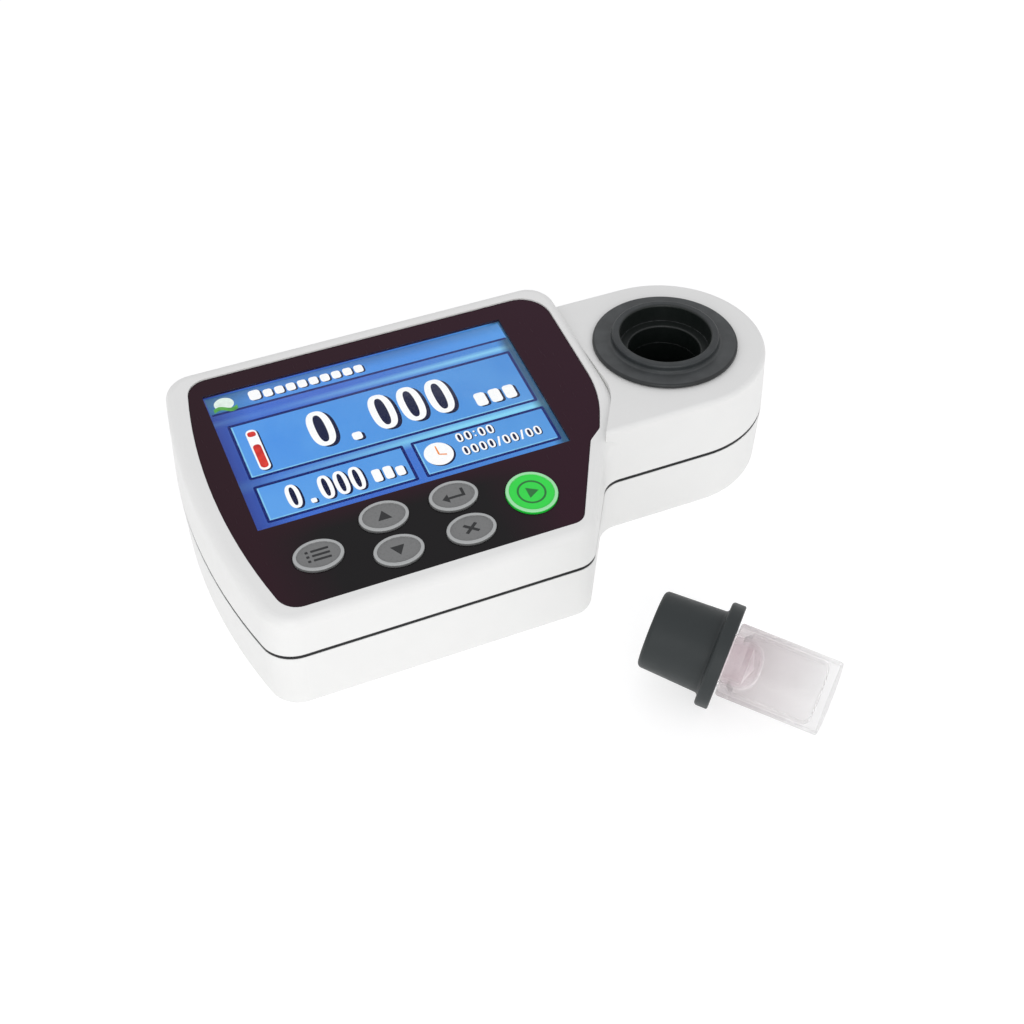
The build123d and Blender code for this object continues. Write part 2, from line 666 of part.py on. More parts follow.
with BuildPart() as cover_screws:
    for x, y in cover_screw_places():
        with Locations((x - WELL_REACH, y, 0)):
            Cone(COVER_SCREW_HEAD_RADIUS, COVER_SCREW_RADIUS, COVER_SCREW_HEAD_DEPTH,
                 align=(Align.CENTER, Align.CENTER, Align.MIN))
            Cylinder(COVER_SCREW_RADIUS, COVER_SCREW_TIP_Z, align=(Align.CENTER, Align.CENTER, Align.MIN))
    with BuildSketch(plan_level(0)):
        draw_cross(cover_screw_places(), COVER_CROSS_SLOT)
    extrude(amount=COVER_CROSS_SLOT_DEPTH, mode=Mode.SUBTRACT)
save(cover_screws, "cover_screws")

CELL_AXIS_Z = COVER_LEDGE_Z + CELL_RADIUS + 2 * CLEARANCE
ROOM_BACK = BATTERY_CENTRE[1] + BATTERY_ROOM[1] / 2
ROOM_FRONT = BATTERY_CENTRE[1] - BATTERY_ROOM[1] / 2
SPRING_REACH = (BATTERY_ROOM[1] - CELL_LENGTH) / 2 - CONTACT_THICK


def cell_level(shift, y, turn):
    """The upright plane across one cell's axis at y, facing back for turn 1 and forward for turn -1."""
    cell_centre = (BATTERY_CENTRE[0] + shift - WELL_REACH, y, CELL_AXIS_Z)
    return Plane(origin=cell_centre, x_dir=(1, 0, 0), z_dir=(0, turn, 0))


# Neighbouring cells lie opposite ways round; turn is the direction from a cell's flat end to its button
with BuildPart() as battery_cells:
    for shift, turn in cell_rows():
        flat_end = cell_level(shift, BATTERY_CENTRE[1] - turn * CELL_LENGTH / 2, turn)
        with BuildSketch(flat_end):
            Circle(CELL_RADIUS)
        extrude(amount=CELL_LENGTH - CELL_BUTTON_HEIGHT)
        with BuildSketch(flat_end):
            Circle(CELL_BUTTON_RADIUS)
        extrude(amount=CELL_LENGTH)
    rims = edges().filter_by(GeomType.CIRCLE).filter_by(lambda edge: edge.radius > CELL_RADIUS - GAP)
    fillet(rims, radius=CELL_ROUND)
save(battery_cells, "battery_cells")

# A plate stands at each end of every cell; the one at the button end has a stud that reaches the button
with BuildPart() as battery_plates:
    for y, outward in ((ROOM_FRONT, 1), (ROOM_BACK, -1)):
        with BuildSketch(cell_level(0, y, outward)):
            with GridLocations(CELL_PITCH, 0, CELL_COUNT, 1):
                RectangleRounded(CONTACT_SIZE, CONTACT_SIZE, 1.0)
        extrude(amount=CONTACT_THICK)
    for shift, turn in cell_rows():
        with BuildSketch(cell_level(shift, BATTERY_CENTRE[1] + turn * (CELL_LENGTH / 2 + GAP), turn)):
            Circle(CONTACT_STUD_RADIUS)
        extrude(amount=SPRING_REACH)
save(battery_plates, "battery_plates")

# A coil spring presses on each cell's flat end
with BuildPart() as battery_springs:
    for shift, turn in cell_rows():
        wall_y = (ROOM_FRONT + CONTACT_THICK) if turn == 1 else (ROOM_BACK - CONTACT_THICK)
        coil_start = cell_level(shift, wall_y + turn * (SPRING_WIRE_RADIUS + FIT), turn).origin
        coil_height = SPRING_REACH - 2 * SPRING_WIRE_RADIUS - 3 * FIT
        with BuildLine() as coil:
            Helix(pitch=SPRING_PITCH, height=coil_height, radius=SPRING_RADIUS, center=coil_start,
                  direction=(0, turn, 0))
        with BuildSketch(Plane(origin=coil.line @ 0, z_dir=coil.line % 0)):
            Circle(SPRING_WIRE_RADIUS)
        sweep(path=coil.line, is_frenet=True)
save(battery_springs, "battery_springs")


# ---- Face: panel, window and display -----------------------------------------------------------------

with BuildPart() as face_panel:
    with BuildSketch(face_level(-PANEL_THICK + TOUCH)):
        draw_panel_outline()
        draw_window_rectangle(WINDOW_MARGIN, Mode.SUBTRACT)
        for key_name in KEY_PLACES:
            draw_key_shape(key_name, CLEARANCE, Mode.SUBTRACT)
    extrude(amount=PANEL_THICK - TOUCH)
save(face_panel, "face_panel")

with BuildPart() as display_window:
    with BuildSketch(face_level(LCD_TOP + GAP)):
        draw_window_rectangle(WINDOW_MARGIN - GAP)
    extrude(amount=-LCD_TOP - 2 * GAP)
save(display_window, "display_window")

with BuildPart() as lcd_cell:
    with BuildSketch(face_level(LCD_TOP)):
        draw_module_rectangle(-FRAME_THICK - GAP)
    extrude(amount=-LCD_THICK)
save(lcd_cell, "lcd_cell")

with BuildPart() as backlight:
    with BuildSketch(face_level(BACKLIGHT_TOP)):
        draw_module_rectangle(-FRAME_THICK - CLEARANCE)
    extrude(amount=-BACKLIGHT_THICK)
save(backlight, "backlight")

with BuildPart() as display_frame:
    with BuildSketch(face_level(FRAME_FLOOR - FRAME_THICK)):
        draw_module_rectangle(0, FRAME_CORNER)
    extrude(amount=LCD_TOP - FRAME_LIP - FRAME_FLOOR + FRAME_THICK)
    with BuildSketch(face_level(FRAME_FLOOR)):
        draw_module_rectangle(-FRAME_THICK)
    extrude(amount=THROUGH, mode=Mode.SUBTRACT)
save(display_frame, "display_frame")

# Flat cable: glued under the frame, bent down to the main board and plugged into a socket there
FLEX_TOP = FRAME_FLOOR - FRAME_THICK - GAP
with BuildPart() as display_cable:
    with BuildSketch(face_level(FLEX_TOP)):
        with Locations((0, FLEX_BEND_Y + FLEX_LENGTH / 2 - CLEARANCE)):
            Rectangle(FLEX_WIDTH, FLEX_LENGTH)
    extrude(amount=-FLEX_THICK)
    with BuildSketch(face_level(FLEX_TOP)):
        with Locations((0, FLEX_BEND_Y)):
            Rectangle(FLEX_WIDTH, 2 * CLEARANCE)
    extrude(amount=BOARD_TOP + FLEX_SOCKET_HEIGHT - FLEX_TOP)
    with BuildSketch(face_level(BOARD_TOP + GAP)):
        with Locations((0, FLEX_BEND_Y - CLEARANCE)):
            Rectangle(*FLEX_SOCKET)
    extrude(amount=FLEX_SOCKET_HEIGHT)
save(display_cable, "display_cable")


# ---- Keys and main board -----------------------------------------------------------------------------

def build_key(name):
    """One key cap with its retaining flange and the stem that works its switch."""
    with BuildPart() as key:
        with BuildSketch(face_level(KEY_FLANGE_TOP)):
            draw_key_shape(name, 0)
        extrude(amount=KEY_PROUD - KEY_FLANGE_TOP)
        fillet(faces().sort_by(Axis.Z)[-1].edges(), radius=KEY_ROUND)
        with BuildSketch(face_level(KEY_PROUD - KEY_DISH)):
            draw_key_shape(name, -KEY_RIM)
        extrude(amount=KEY_PROUD, mode=Mode.SUBTRACT)
        with BuildSketch(face_level(KEY_FLANGE_TOP)):
            draw_key_shape(name, KEY_FLANGE)
        extrude(amount=-KEY_FLANGE_THICK)
        with BuildSketch(face_level(KEY_FLANGE_TOP - KEY_FLANGE_THICK)):
            with Locations(KEY_PLACES[name]):
                Circle(STEM_RADIUS)
        extrude(amount=STEM_BOTTOM - KEY_FLANGE_TOP + KEY_FLANGE_THICK)
    save(key, name)


for key_name in KEY_PLACES:
    build_key(key_name)

with BuildPart() as tact_switches:
    with BuildSketch(face_level(BOARD_TOP + TOUCH)):
        with Locations(*KEY_PLACES.values()):
            Rectangle(SWITCH_SIZE, SWITCH_SIZE)
    extrude(amount=SWITCH_TOP - BOARD_TOP - TOUCH)
    with BuildSketch(face_level(STEM_BOTTOM - KEY_TRAVEL - CLEARANCE)):
        with Locations(*KEY_PLACES.values()):
            Circle(STEM_RADIUS + FIT)
    extrude(amount=THROUGH, mode=Mode.SUBTRACT)
save(tact_switches, "tact_switches")

with BuildPart() as main_board:
    with BuildSketch(face_level(BOARD_TOP)):
        Polygon(*BOARD_CORNERS, align=None)
        with Locations(*BOARD_BOSS_PLACES):
            Circle(BOARD_SCREW_RADIUS + CLEARANCE, mode=Mode.SUBTRACT)
    extrude(amount=-BOARD_THICK)
save(main_board, "main_board")

with BuildPart() as board_screws:
    with BuildSketch(face_level(BOARD_BOTTOM - TOUCH)):
        with Locations(*BOARD_BOSS_PLACES):
            Circle(BOARD_SCREW_HEAD_RADIUS)
    extrude(amount=-BOARD_SCREW_HEAD_THICK)
    with BuildSketch(face_level(BOARD_BOTTOM - TOUCH)):
        with Locations(*BOARD_BOSS_PLACES):
            Circle(BOARD_SCREW_RADIUS)
    extrude(amount=BOARD_THICK + BOARD_SCREW_REACH)
    with BuildSketch(face_level(BOARD_BOTTOM - TOUCH - BOARD_SCREW_HEAD_THICK)):
        draw_cross(BOARD_BOSS_PLACES, BOARD_CROSS_SLOT)
    extrude(amount=BOARD_CROSS_SLOT_DEPTH, mode=Mode.SUBTRACT)
save(board_screws, "board_screws")

with BuildPart() as board_chips:
    with BuildSketch(face_level(BOARD_BOTTOM - TOUCH)):
        with Locations(PROCESSOR_PLACE):
            Rectangle(*PROCESSOR_SIZE)
        with Locations(*DRIVER_PLACES):
            Rectangle(*DRIVER_SIZE)
        with Locations(MEMORY_PLACE):
            Rectangle(*MEMORY_SIZE)
    extrude(amount=-CHIP_THICK)
    undersides = [chip.faces().filter_by(FACE_PLANE).sort_by(Axis.Z)[0] for chip in solids()]
    chamfer([edge for underside in undersides for edge in underside.edges()], length=CHIP_BEVEL)
save(board_chips, "board_chips")

with BuildPart() as buzzer:
    with BuildSketch(face_level(BOARD_TOP + TOUCH)):
        with Locations(BUZZER_PLACE):
            Circle(BUZZER_RADIUS)
    extrude(amount=BUZZER_HEIGHT)
    with BuildSketch(face_level(BOARD_TOP + TOUCH + BUZZER_HEIGHT)):
        with Locations(BUZZER_PLACE):
            Circle(BUZZER_PORT_RADIUS)
    extrude(amount=-BUZZER_PORT_DEPTH, mode=Mode.SUBTRACT)
save(buzzer, "buzzer")


# ---- Sample well and optics --------------------------------------------------------------------------

FLANGE_BOTTOM_Z = TAIL_TOP_Z + COLLAR_SEAL_THICK
FLANGE_TOP_Z = FLANGE_BOTTOM_Z + COLLAR_FLANGE_THICK
with BuildPart() as well_collar:
    with BuildSketch(Plane.XZ):
        with BuildLine():
            Polyline((WELL_RADIUS, BARREL_BOTTOM_Z), (BARREL_RADIUS, BARREL_BOTTOM_Z),
                     (BARREL_RADIUS, FLANGE_BOTTOM_Z), (COLLAR_FLANGE_RADIUS, FLANGE_BOTTOM_Z),
                     (COLLAR_FLANGE_RADIUS, FLANGE_TOP_Z), (COLLAR_RING_RADIUS, FLANGE_TOP_Z),
                     (COLLAR_RING_RADIUS, COLLAR_TOP_Z), (MOUTH_RADIUS, COLLAR_TOP_Z),
                     (MOUTH_RADIUS, MOUTH_FLOOR_Z), (WELL_RADIUS, MOUTH_FLOOR_Z), close=True)
        make_face()
        round_corners([
            ((COLLAR_FLANGE_RADIUS, FLANGE_TOP_Z), COLLAR_FLANGE_ROUND),
            ((COLLAR_RING_RADIUS, FLANGE_TOP_Z), COLLAR_FOOT_ROUND),
            ((COLLAR_RING_RADIUS, COLLAR_TOP_Z), COLLAR_MOUTH_ROUND),
            ((MOUTH_RADIUS, COLLAR_TOP_Z), COLLAR_MOUTH_ROUND),
            ((WELL_RADIUS, MOUTH_FLOOR_Z), COLLAR_LEDGE_ROUND),
        ])
    revolve(axis=Axis.Z)
save(well_collar, "well_collar")

with BuildPart() as collar_seal:
    with BuildSketch(well_level(TAIL_TOP_Z + TOUCH)):
        Circle(COLLAR_FLANGE_RADIUS - COLLAR_SEAL_INSET)
        Circle(BARREL_RADIUS + CLEARANCE, mode=Mode.SUBTRACT)
    extrude(amount=COLLAR_SEAL_THICK - 2 * TOUCH)
save(collar_seal, "collar_seal")

with BuildPart() as collar_nut:
    with BuildSketch(well_level(TAIL_TOP_Z - WALL - GAP)):
        RegularPolygon(NUT_RADIUS, NUT_SIDES)
        Circle(BARREL_RADIUS + GAP, mode=Mode.SUBTRACT)
    extrude(amount=-NUT_THICK)
save(collar_nut, "collar_nut")

# The tube's light path runs along X: the lamp on the body side, the filter and receiver beyond the well
LAMP_PLANE = Plane(origin=(0, 0, LIGHT_Z), x_dir=(0, -1, 0), z_dir=(-1, 0, 0))
RECEIVER_PLANE = Plane(origin=(0, 0, LIGHT_Z), x_dir=(0, 1, 0), z_dir=(1, 0, 0))
with BuildPart() as well_tube:
    with BuildSketch(well_level(TUBE_BASE_Z + GAP)):
        Circle(TUBE_BASE_RADIUS)
    extrude(amount=TUBE_BASE_THICK)
    with BuildSketch(well_level(TUBE_BASE_Z + GAP)):
        Circle(TUBE_RADIUS)
    extrude(amount=BARREL_BOTTOM_Z - TUBE_BASE_Z - 2 * GAP)
    with BuildSketch(LAMP_PLANE):
        Circle(LAMP_BOSS_RADIUS)
    extrude(amount=BOSS_REACH)
    with BuildSketch(RECEIVER_PLANE):
        Circle(RECEIVER_BOSS_RADIUS)
    extrude(amount=BOSS_REACH)
    with BuildSketch(well_level(TUBE_FLOOR_Z)):
        Circle(WELL_RADIUS)
    extrude(amount=THROUGH, mode=Mode.SUBTRACT)
    with BuildSketch(LAMP_PLANE):
        Circle(LIGHT_APERTURE)
    extrude(amount=BOSS_REACH, both=True, mode=Mode.SUBTRACT)
    with BuildSketch(LAMP_PLANE.offset(LAMP_POCKET_START)):
        Circle(LAMP_RADIUS + FIT)
    extrude(amount=THROUGH, mode=Mode.SUBTRACT)
    with BuildSketch(RECEIVER_PLANE.offset(FILTER_START)):
        Circle(FILTER_RADIUS + FIT)
    extrude(amount=THROUGH, mode=Mode.SUBTRACT)
save(well_tube, "well_tube")

with BuildPart() as lamp_led:
    with BuildSketch(LAMP_PLANE.offset(BOSS_REACH + TOUCH)):
        Circle(LAMP_RADIUS)
    extrude(amount=-LAMP_LENGTH)
    with BuildSketch(LAMP_PLANE.offset(BOSS_REACH + TOUCH)):
        Circle(LAMP_RADIUS + LAMP_RIM)
    extrude(amount=LAMP_RIM_THICK)
    fillet(faces().sort_by(Axis.X)[-1].edges(), radius=LAMP_ROUND)
save(lamp_led, "lamp_led")

with BuildPart() as optical_filter:
    with BuildSketch(RECEIVER_PLANE.offset(FILTER_START + GAP)):
        Circle(FILTER_RADIUS)
    extrude(amount=FILTER_THICK)
save(optical_filter, "optical_filter")

with BuildPart() as photodiode:
    with BuildSketch(RECEIVER_PLANE.offset(PHOTODIODE_START)):
        Circle(PHOTODIODE_RADIUS)
    extrude(amount=PHOTODIODE_END - PHOTODIODE_START)
    fillet(faces().sort_by(Axis.X)[0].edges(), radius=PHOTODIODE_ROUND)
save(photodiode, "photodiode")


def build_side_board(name, light_plane):
    """A small upright circuit board behind one end of the light path, with its cable socket."""
    with BuildPart() as board:
        with BuildSketch(light_plane.offset(SIDE_BOARD_START)):
            with Locations((0, SIDE_BOARD_RISE)):
                RectangleRounded(SIDE_BOARD_SIZE, SIDE_BOARD_SIZE, SIDE_BOARD_CORNER)
        extrude(amount=SIDE_BOARD_THICK)
        with BuildSketch(light_plane.offset(SIDE_BOARD_START + SIDE_BOARD_THICK)):
            with Locations((0, SOCKET_RISE)):
                Rectangle(*SOCKET_SIZE)
        extrude(amount=SOCKET_LENGTH)
    save(board, name)


build_side_board("lamp_board", LAMP_PLANE)
build_side_board("receiver_board", RECEIVER_PLANE)


def build_cable(name, points, start_heading, end_heading):
    """A round cable through the listed points, leaving and arriving along the given headings."""
    with BuildPart() as cable:
        with BuildLine() as run:
            Spline(*points, tangents=[start_heading, end_heading], tangent_scalars=[1, 1])
        with BuildSketch(Plane(origin=run.line @ 0, z_dir=run.line % 0)):
            Circle(CABLE_RADIUS)
        sweep(path=run.line)
    save(cable, name)


# All three cables rise to the underside of the main board
SOCKET_X = SIDE_BOARD_START + SIDE_BOARD_THICK + SOCKET_LENGTH + GAP
SOCKET_Z = LIGHT_Z + SOCKET_RISE
CABLE_END_Z = 31.8
build_cable("lamp_cable",
            [(-SOCKET_X, 0, SOCKET_Z), (-30.0, 0, 28.0), (-37.0, 0, CABLE_END_Z)],
            (-1, 0, 0), (0, 0, 1))
build_cable("receiver_cable",
            [(SOCKET_X, 0, SOCKET_Z), (27.6, 3.2, 28.4), (24.3, 8.6, 28.2), (19.0, 11.9, 28.0),
             (12.0, 15.2, 28.0), (2.0, 18.6, 28.0), (-12.0, 18.2, 28.0), (-25.0, 13.2, 28.6),
             (-37.0, 8.6, CABLE_END_Z)],
            (1, 0, 0), (-1, -0.2, 0.5))
build_cable("battery_cable",
            [(BATTERY_WIRE_X + CLEARANCE, 0, BATTERY_WIRE_Z), (-74.0, 0, BATTERY_WIRE_Z),
             (-68.0, 1.0, 22.0), (-66.0, 1.0, CABLE_END_Z)],
            (1, 0, 0), (0, 0, 1))


# ---- Sample vial, lying beside the case --------------------------------------------------------------

# The cap's flange and the rim of the base both rest on the table, which sets the vial's slope
VIAL_SLOPE = degrees(atan((CAP_FLANGE_RADIUS - VIAL_RADIUS) / VIAL_EXPOSED))
vial_direction = (
    cos(radians(VIAL_SLOPE)) * cos(radians(VIAL_HEADING)),
    cos(radians(VIAL_SLOPE)) * sin(radians(VIAL_HEADING)),
    sin(radians(VIAL_SLOPE)),
)
VIAL_PLANE = Plane(
    origin=(VIAL_FOOT[0], VIAL_FOOT[1], VIAL_RADIUS * cos(radians(VIAL_SLOPE))),
    x_dir=(sin(radians(VIAL_HEADING)), -cos(radians(VIAL_HEADING)), 0),
    z_dir=vial_direction,
)
VIAL_PROFILE_PLANE = Plane(origin=VIAL_PLANE.origin, x_dir=VIAL_PLANE.x_dir, z_dir=-VIAL_PLANE.y_dir)
VIAL_AXIS = Axis(VIAL_PLANE.origin, VIAL_PLANE.z_dir)

SHOULDER = VIAL_EXPOSED - 2 * CLEARANCE
NECK_TOP = VIAL_EXPOSED + NECK_LENGTH
NECK_INNER_RADIUS = NECK_RADIUS - NECK_WALL
VIAL_INNER_RADIUS = VIAL_RADIUS - VIAL_WALL
with BuildPart() as vial_glass:
    with BuildSketch(VIAL_PROFILE_PLANE):
        with BuildLine():
            Polyline((0, 0), (VIAL_RADIUS, 0), (VIAL_RADIUS, SHOULDER), (NECK_RADIUS, SHOULDER),
                     (NECK_RADIUS, NECK_TOP), (NECK_INNER_RADIUS, NECK_TOP),
                     (NECK_INNER_RADIUS, SHOULDER - VIAL_SHOULDER_DROP),
                     (VIAL_INNER_RADIUS, SHOULDER - VIAL_SHOULDER_DROP - VIAL_SHOULDER_SLOPE),
                     (VIAL_INNER_RADIUS, VIAL_BASE_THICK), (0, VIAL_BASE_THICK), close=True)
        make_face()
        round_corners([
            ((VIAL_RADIUS, 0), VIAL_BASE_ROUND),
            ((VIAL_RADIUS, SHOULDER), VIAL_SHOULDER_ROUND),
            ((VIAL_INNER_RADIUS, VIAL_BASE_THICK), VIAL_INNER_ROUND),
            ((NECK_RADIUS, NECK_TOP), NECK_ROUND),
        ])
    revolve(axis=VIAL_AXIS)
save(vial_glass, "vial_glass")

CAP_BORE = NECK_RADIUS + FIT
CAP_ROOF = VIAL_EXPOSED + CAP_LENGTH - CAP_ROOF_THICK
CAP_FLANGE_TOP = VIAL_EXPOSED + CAP_FLANGE_THICK
CAP_TOP = VIAL_EXPOSED + CAP_LENGTH
with BuildPart() as vial_cap:
    with BuildSketch(VIAL_PROFILE_PLANE):
        with BuildLine():
            Polyline((CAP_BORE, VIAL_EXPOSED), (CAP_FLANGE_RADIUS, VIAL_EXPOSED),
                     (CAP_FLANGE_RADIUS, CAP_FLANGE_TOP), (CAP_RADIUS_LOW, CAP_FLANGE_TOP),
                     (CAP_RADIUS_HIGH, CAP_TOP), (0, CAP_TOP), (0, CAP_ROOF), (CAP_BORE, CAP_ROOF),
                     close=True)
        make_face()
        round_corners([
            ((CAP_FLANGE_RADIUS, VIAL_EXPOSED), CAP_UNDERSIDE_ROUND),
            ((CAP_FLANGE_RADIUS, CAP_FLANGE_TOP), CAP_FLANGE_ROUND),
            ((CAP_RADIUS_LOW, CAP_FLANGE_TOP), CAP_FOOT_ROUND),
            ((CAP_RADIUS_HIGH, CAP_TOP), CAP_TOP_ROUND),
        ])
    revolve(axis=VIAL_AXIS)
    # locating notch in the flange
    with BuildSketch(VIAL_PLANE.offset(VIAL_EXPOSED)):
        with PolarLocations(CAP_FLANGE_RADIUS, 1, start_angle=CAP_NOTCH_ANGLE):
            Circle(CAP_NOTCH_RADIUS)
    extrude(amount=CAP_FLANGE_THICK + CAP_FOOT_ROUND, mode=Mode.SUBTRACT)
save(vial_cap, "vial_cap")

PLUG_RADIUS = NECK_INNER_RADIUS - FIT
PLUG_TOP = CAP_ROOF - GAP
with BuildPart() as cap_plug:
    with BuildSketch(VIAL_PROFILE_PLANE):
        with BuildLine():
            Polyline((0, PLUG_TIP), (PLUG_RADIUS, PLUG_TIP), (PLUG_RADIUS, PLUG_TOP),
                     (PLUG_RADIUS - PLUG_WALL, PLUG_TOP),
                     (PLUG_RADIUS - PLUG_WALL, PLUG_TIP + 2 * PLUG_FLOOR),
                     (0, PLUG_TIP + PLUG_FLOOR), close=True)
        make_face()
        round_corners([((PLUG_RADIUS, PLUG_TIP), PLUG_ROUND)])
    revolve(axis=VIAL_AXIS)
save(cap_plug, "cap_plug")
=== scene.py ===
import json
import math
import bmesh
import bpy
from mathutils import Matrix, Vector


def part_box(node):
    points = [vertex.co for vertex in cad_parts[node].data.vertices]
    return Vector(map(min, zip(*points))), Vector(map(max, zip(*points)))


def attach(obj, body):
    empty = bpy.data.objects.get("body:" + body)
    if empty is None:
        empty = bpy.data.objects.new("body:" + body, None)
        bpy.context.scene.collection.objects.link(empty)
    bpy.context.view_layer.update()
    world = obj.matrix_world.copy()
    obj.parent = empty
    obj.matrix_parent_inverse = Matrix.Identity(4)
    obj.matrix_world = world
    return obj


# The looks of a portable water colour tester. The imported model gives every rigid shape; this script gives
# each one its material, and adds the lit screen picture and the marks on the keys as thin relief pieces.

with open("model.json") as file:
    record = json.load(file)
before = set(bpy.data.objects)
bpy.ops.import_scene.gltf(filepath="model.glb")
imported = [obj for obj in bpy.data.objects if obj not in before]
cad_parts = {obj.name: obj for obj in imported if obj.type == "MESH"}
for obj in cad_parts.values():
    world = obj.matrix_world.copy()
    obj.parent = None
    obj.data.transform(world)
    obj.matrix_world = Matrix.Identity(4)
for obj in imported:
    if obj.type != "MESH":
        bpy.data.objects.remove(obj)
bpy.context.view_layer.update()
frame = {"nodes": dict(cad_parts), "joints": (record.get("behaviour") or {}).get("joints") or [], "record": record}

MM = 0.001
JOINT_AXES = {joint["name"]: Vector(joint["axis"]) for joint in frame["joints"]}


# ---- Places taken from the frame ---------------------------------------------------------------------

def box_centre(node):
    low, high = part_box(node)
    return (low + high) / 2


# The face plane's own axes: right, up towards the back edge, and square out of the face
WINDOW_MIDDLE_DEPTH = 0.525     # mm from the face plane down to the middle of the window
FACE_NORMAL = -JOINT_AXES["key_set_press"].normalized()
FACE_RIGHT = Vector((1, 0, 0))
FACE_UP = FACE_NORMAL.cross(FACE_RIGHT)
FACE_ORIGIN = box_centre("display_window") + FACE_NORMAL * WINDOW_MIDDLE_DEPTH * MM
FACE_MATRIX = Matrix((
    (FACE_RIGHT.x, FACE_UP.x, FACE_NORMAL.x, FACE_ORIGIN.x),
    (FACE_RIGHT.y, FACE_UP.y, FACE_NORMAL.y, FACE_ORIGIN.y),
    (FACE_RIGHT.z, FACE_UP.z, FACE_NORMAL.z, FACE_ORIGIN.z),
    (0, 0, 0, 1),
))


def face_place(node):
    """A node's middle in face coordinates, in millimetres."""
    local = FACE_MATRIX.inverted() @ box_centre(node)
    return local.x / MM, local.y / MM


# ---- Node trees --------------------------------------------------------------------------------------

BEVEL_SAMPLES = 4
EDGE_FLAT, EDGE_SHARP = 0.995, 0.8      # how far the rounded and true normals agree, off and on an edge


class Shader:
    """Builds one material's node tree, with short names for the nodes used here."""

    def __init__(self, name):
        self.material = bpy.data.materials.new(name)
        self.material.use_nodes = True
        self.tree = self.material.node_tree
        self.tree.nodes.clear()
        self.output = self.tree.nodes.new("ShaderNodeOutputMaterial")
        self.place = self.tree.nodes.new("ShaderNodeTexCoord").outputs["Object"]

    def node(self, kind, inputs, **settings):
        made = self.tree.nodes.new(kind)
        for key, value in settings.items():
            setattr(made, key, value)
        for key, value in inputs.items():
            socket = made.inputs[key]
            if isinstance(value, bpy.types.NodeSocket):
                self.tree.links.new(value, socket)
            else:
                socket.default_value = value
        return made

    def noise(self, size_mm, detail=3.0, rough=0.5, stretch=(1, 1, 1)):
        """Fractal noise from 0 to 1 whose features are about size_mm across."""
        scaled = self.node("ShaderNodeMapping", {"Vector": self.place, "Scale": stretch})
        made = self.node("ShaderNodeTexNoise", {
            "Vector": scaled.outputs[0], "Scale": 1 / (size_mm * MM), "Detail": detail, "Roughness": rough})
        return made.outputs["Fac"]

    def cells(self, size_mm):
        """Distance to the middle of the nearest of many scattered cells, as a share of size_mm."""
        made = self.node("ShaderNodeTexVoronoi", {"Vector": self.place, "Scale": 1 / (size_mm * MM)})
        return made.outputs["Distance"]

    def math(self, operation, a, b=0.0, clamp=False):
        return self.node("ShaderNodeMath", {0: a, 1: b}, operation=operation, use_clamp=clamp).outputs[0]

    def vector(self, operation, a, b=None):
        """Vector arithmetic; a length or a dot product comes out as a number."""
        made = self.node("ShaderNodeVectorMath", {0: a} if b is None else {0: a, 1: b}, operation=operation)
        return made.outputs["Value" if operation in ("DOT_PRODUCT", "LENGTH") else "Vector"]

    def remap(self, value, low, high, new_low=0.0, new_high=1.0):
        """Straight-line change from low..high to new_low..new_high, held at both ends."""
        made = self.node("ShaderNodeMapRange", {
            "Value": value, "From Min": low, "From Max": high, "To Min": new_low, "To Max": new_high})
        return made.outputs["Result"]

    def mix(self, factor, a, b):
        made = self.tree.nodes.new("ShaderNodeMix")
        made.data_type = "RGBA"
        # a colour mix node has its factor at input 0 and its two colours at inputs 6 and 7
        for index, value in ((0, factor), (6, a), (7, b)):
            if isinstance(value, bpy.types.NodeSocket):
                self.tree.links.new(value, made.inputs[index])
            elif index == 0:
                made.inputs[index].default_value = value
            else:
                made.inputs[index].default_value = (*value, 1)
        return made.outputs[2]

    def mix_surfaces(self, factor, a, b):
        return self.node("ShaderNodeMixShader", {0: factor, 1: a, 2: b}).outputs[0]

    def see_through(self, colour):
        if not isinstance(colour, bpy.types.NodeSocket):
            colour = (*colour, 1)
        return self.node("ShaderNodeBsdfTransparent", {"Color": colour}).outputs[0]

    def rounded_normal(self, radius_mm):
        return self.node("ShaderNodeBevel", {"Radius": radius_mm * MM}, samples=BEVEL_SAMPLES).outputs[0]

    def edges(self, radius_mm):
        """1 along outer edges and 0 on flat stretches."""
        true = self.node("ShaderNodeNewGeometry", {}).outputs["Normal"]
        agree = self.vector("DOT_PRODUCT", self.rounded_normal(radius_mm), true)
        return self.remap(agree, EDGE_FLAT, EDGE_SHARP)

    def bump(self, height, depth_mm, soft_edge_mm=0.0):
        inputs = {"Height": height, "Strength": 1.0, "Distance": depth_mm * MM}
        if soft_edge_mm:
            inputs["Normal"] = self.rounded_normal(soft_edge_mm)
        return self.node("ShaderNodeBump", inputs).outputs[0]

    def face_distance(self, direction):
        """Socket giving the distance from the face's origin along a direction, in millimetres."""
        reach = self.vector("DOT_PRODUCT", self.vector("SUBTRACT", self.place, FACE_ORIGIN), direction)
        return self.math("DIVIDE", reach, MM)

    def face_uv(self):
        """Sockets giving the place across and up the face, in millimetres from the display centre."""
        return self.face_distance(FACE_RIGHT), self.face_distance(FACE_UP)

    def well_radius(self):
        """Socket giving the distance from the well axis, in millimetres."""
        flat = self.vector("MULTIPLY", self.place, (1, 1, 0))
        return self.math("DIVIDE", self.vector("LENGTH", flat), MM)

    def facing(self):
        """0 where a surface faces the eye and 1 where it is seen edge on."""
        return self.node("ShaderNodeLayerWeight", {"Blend": 0.5}).outputs["Facing"]

    def clear_to_shadows(self, body, clear_colour):
        """A see-through body that dims the light passing it only as much as clear_colour does."""
        shadow_ray = self.node("ShaderNodeLightPath", {}).outputs["Is Shadow Ray"]
        return self.mix_surfaces(shadow_ray, body, self.see_through(clear_colour))

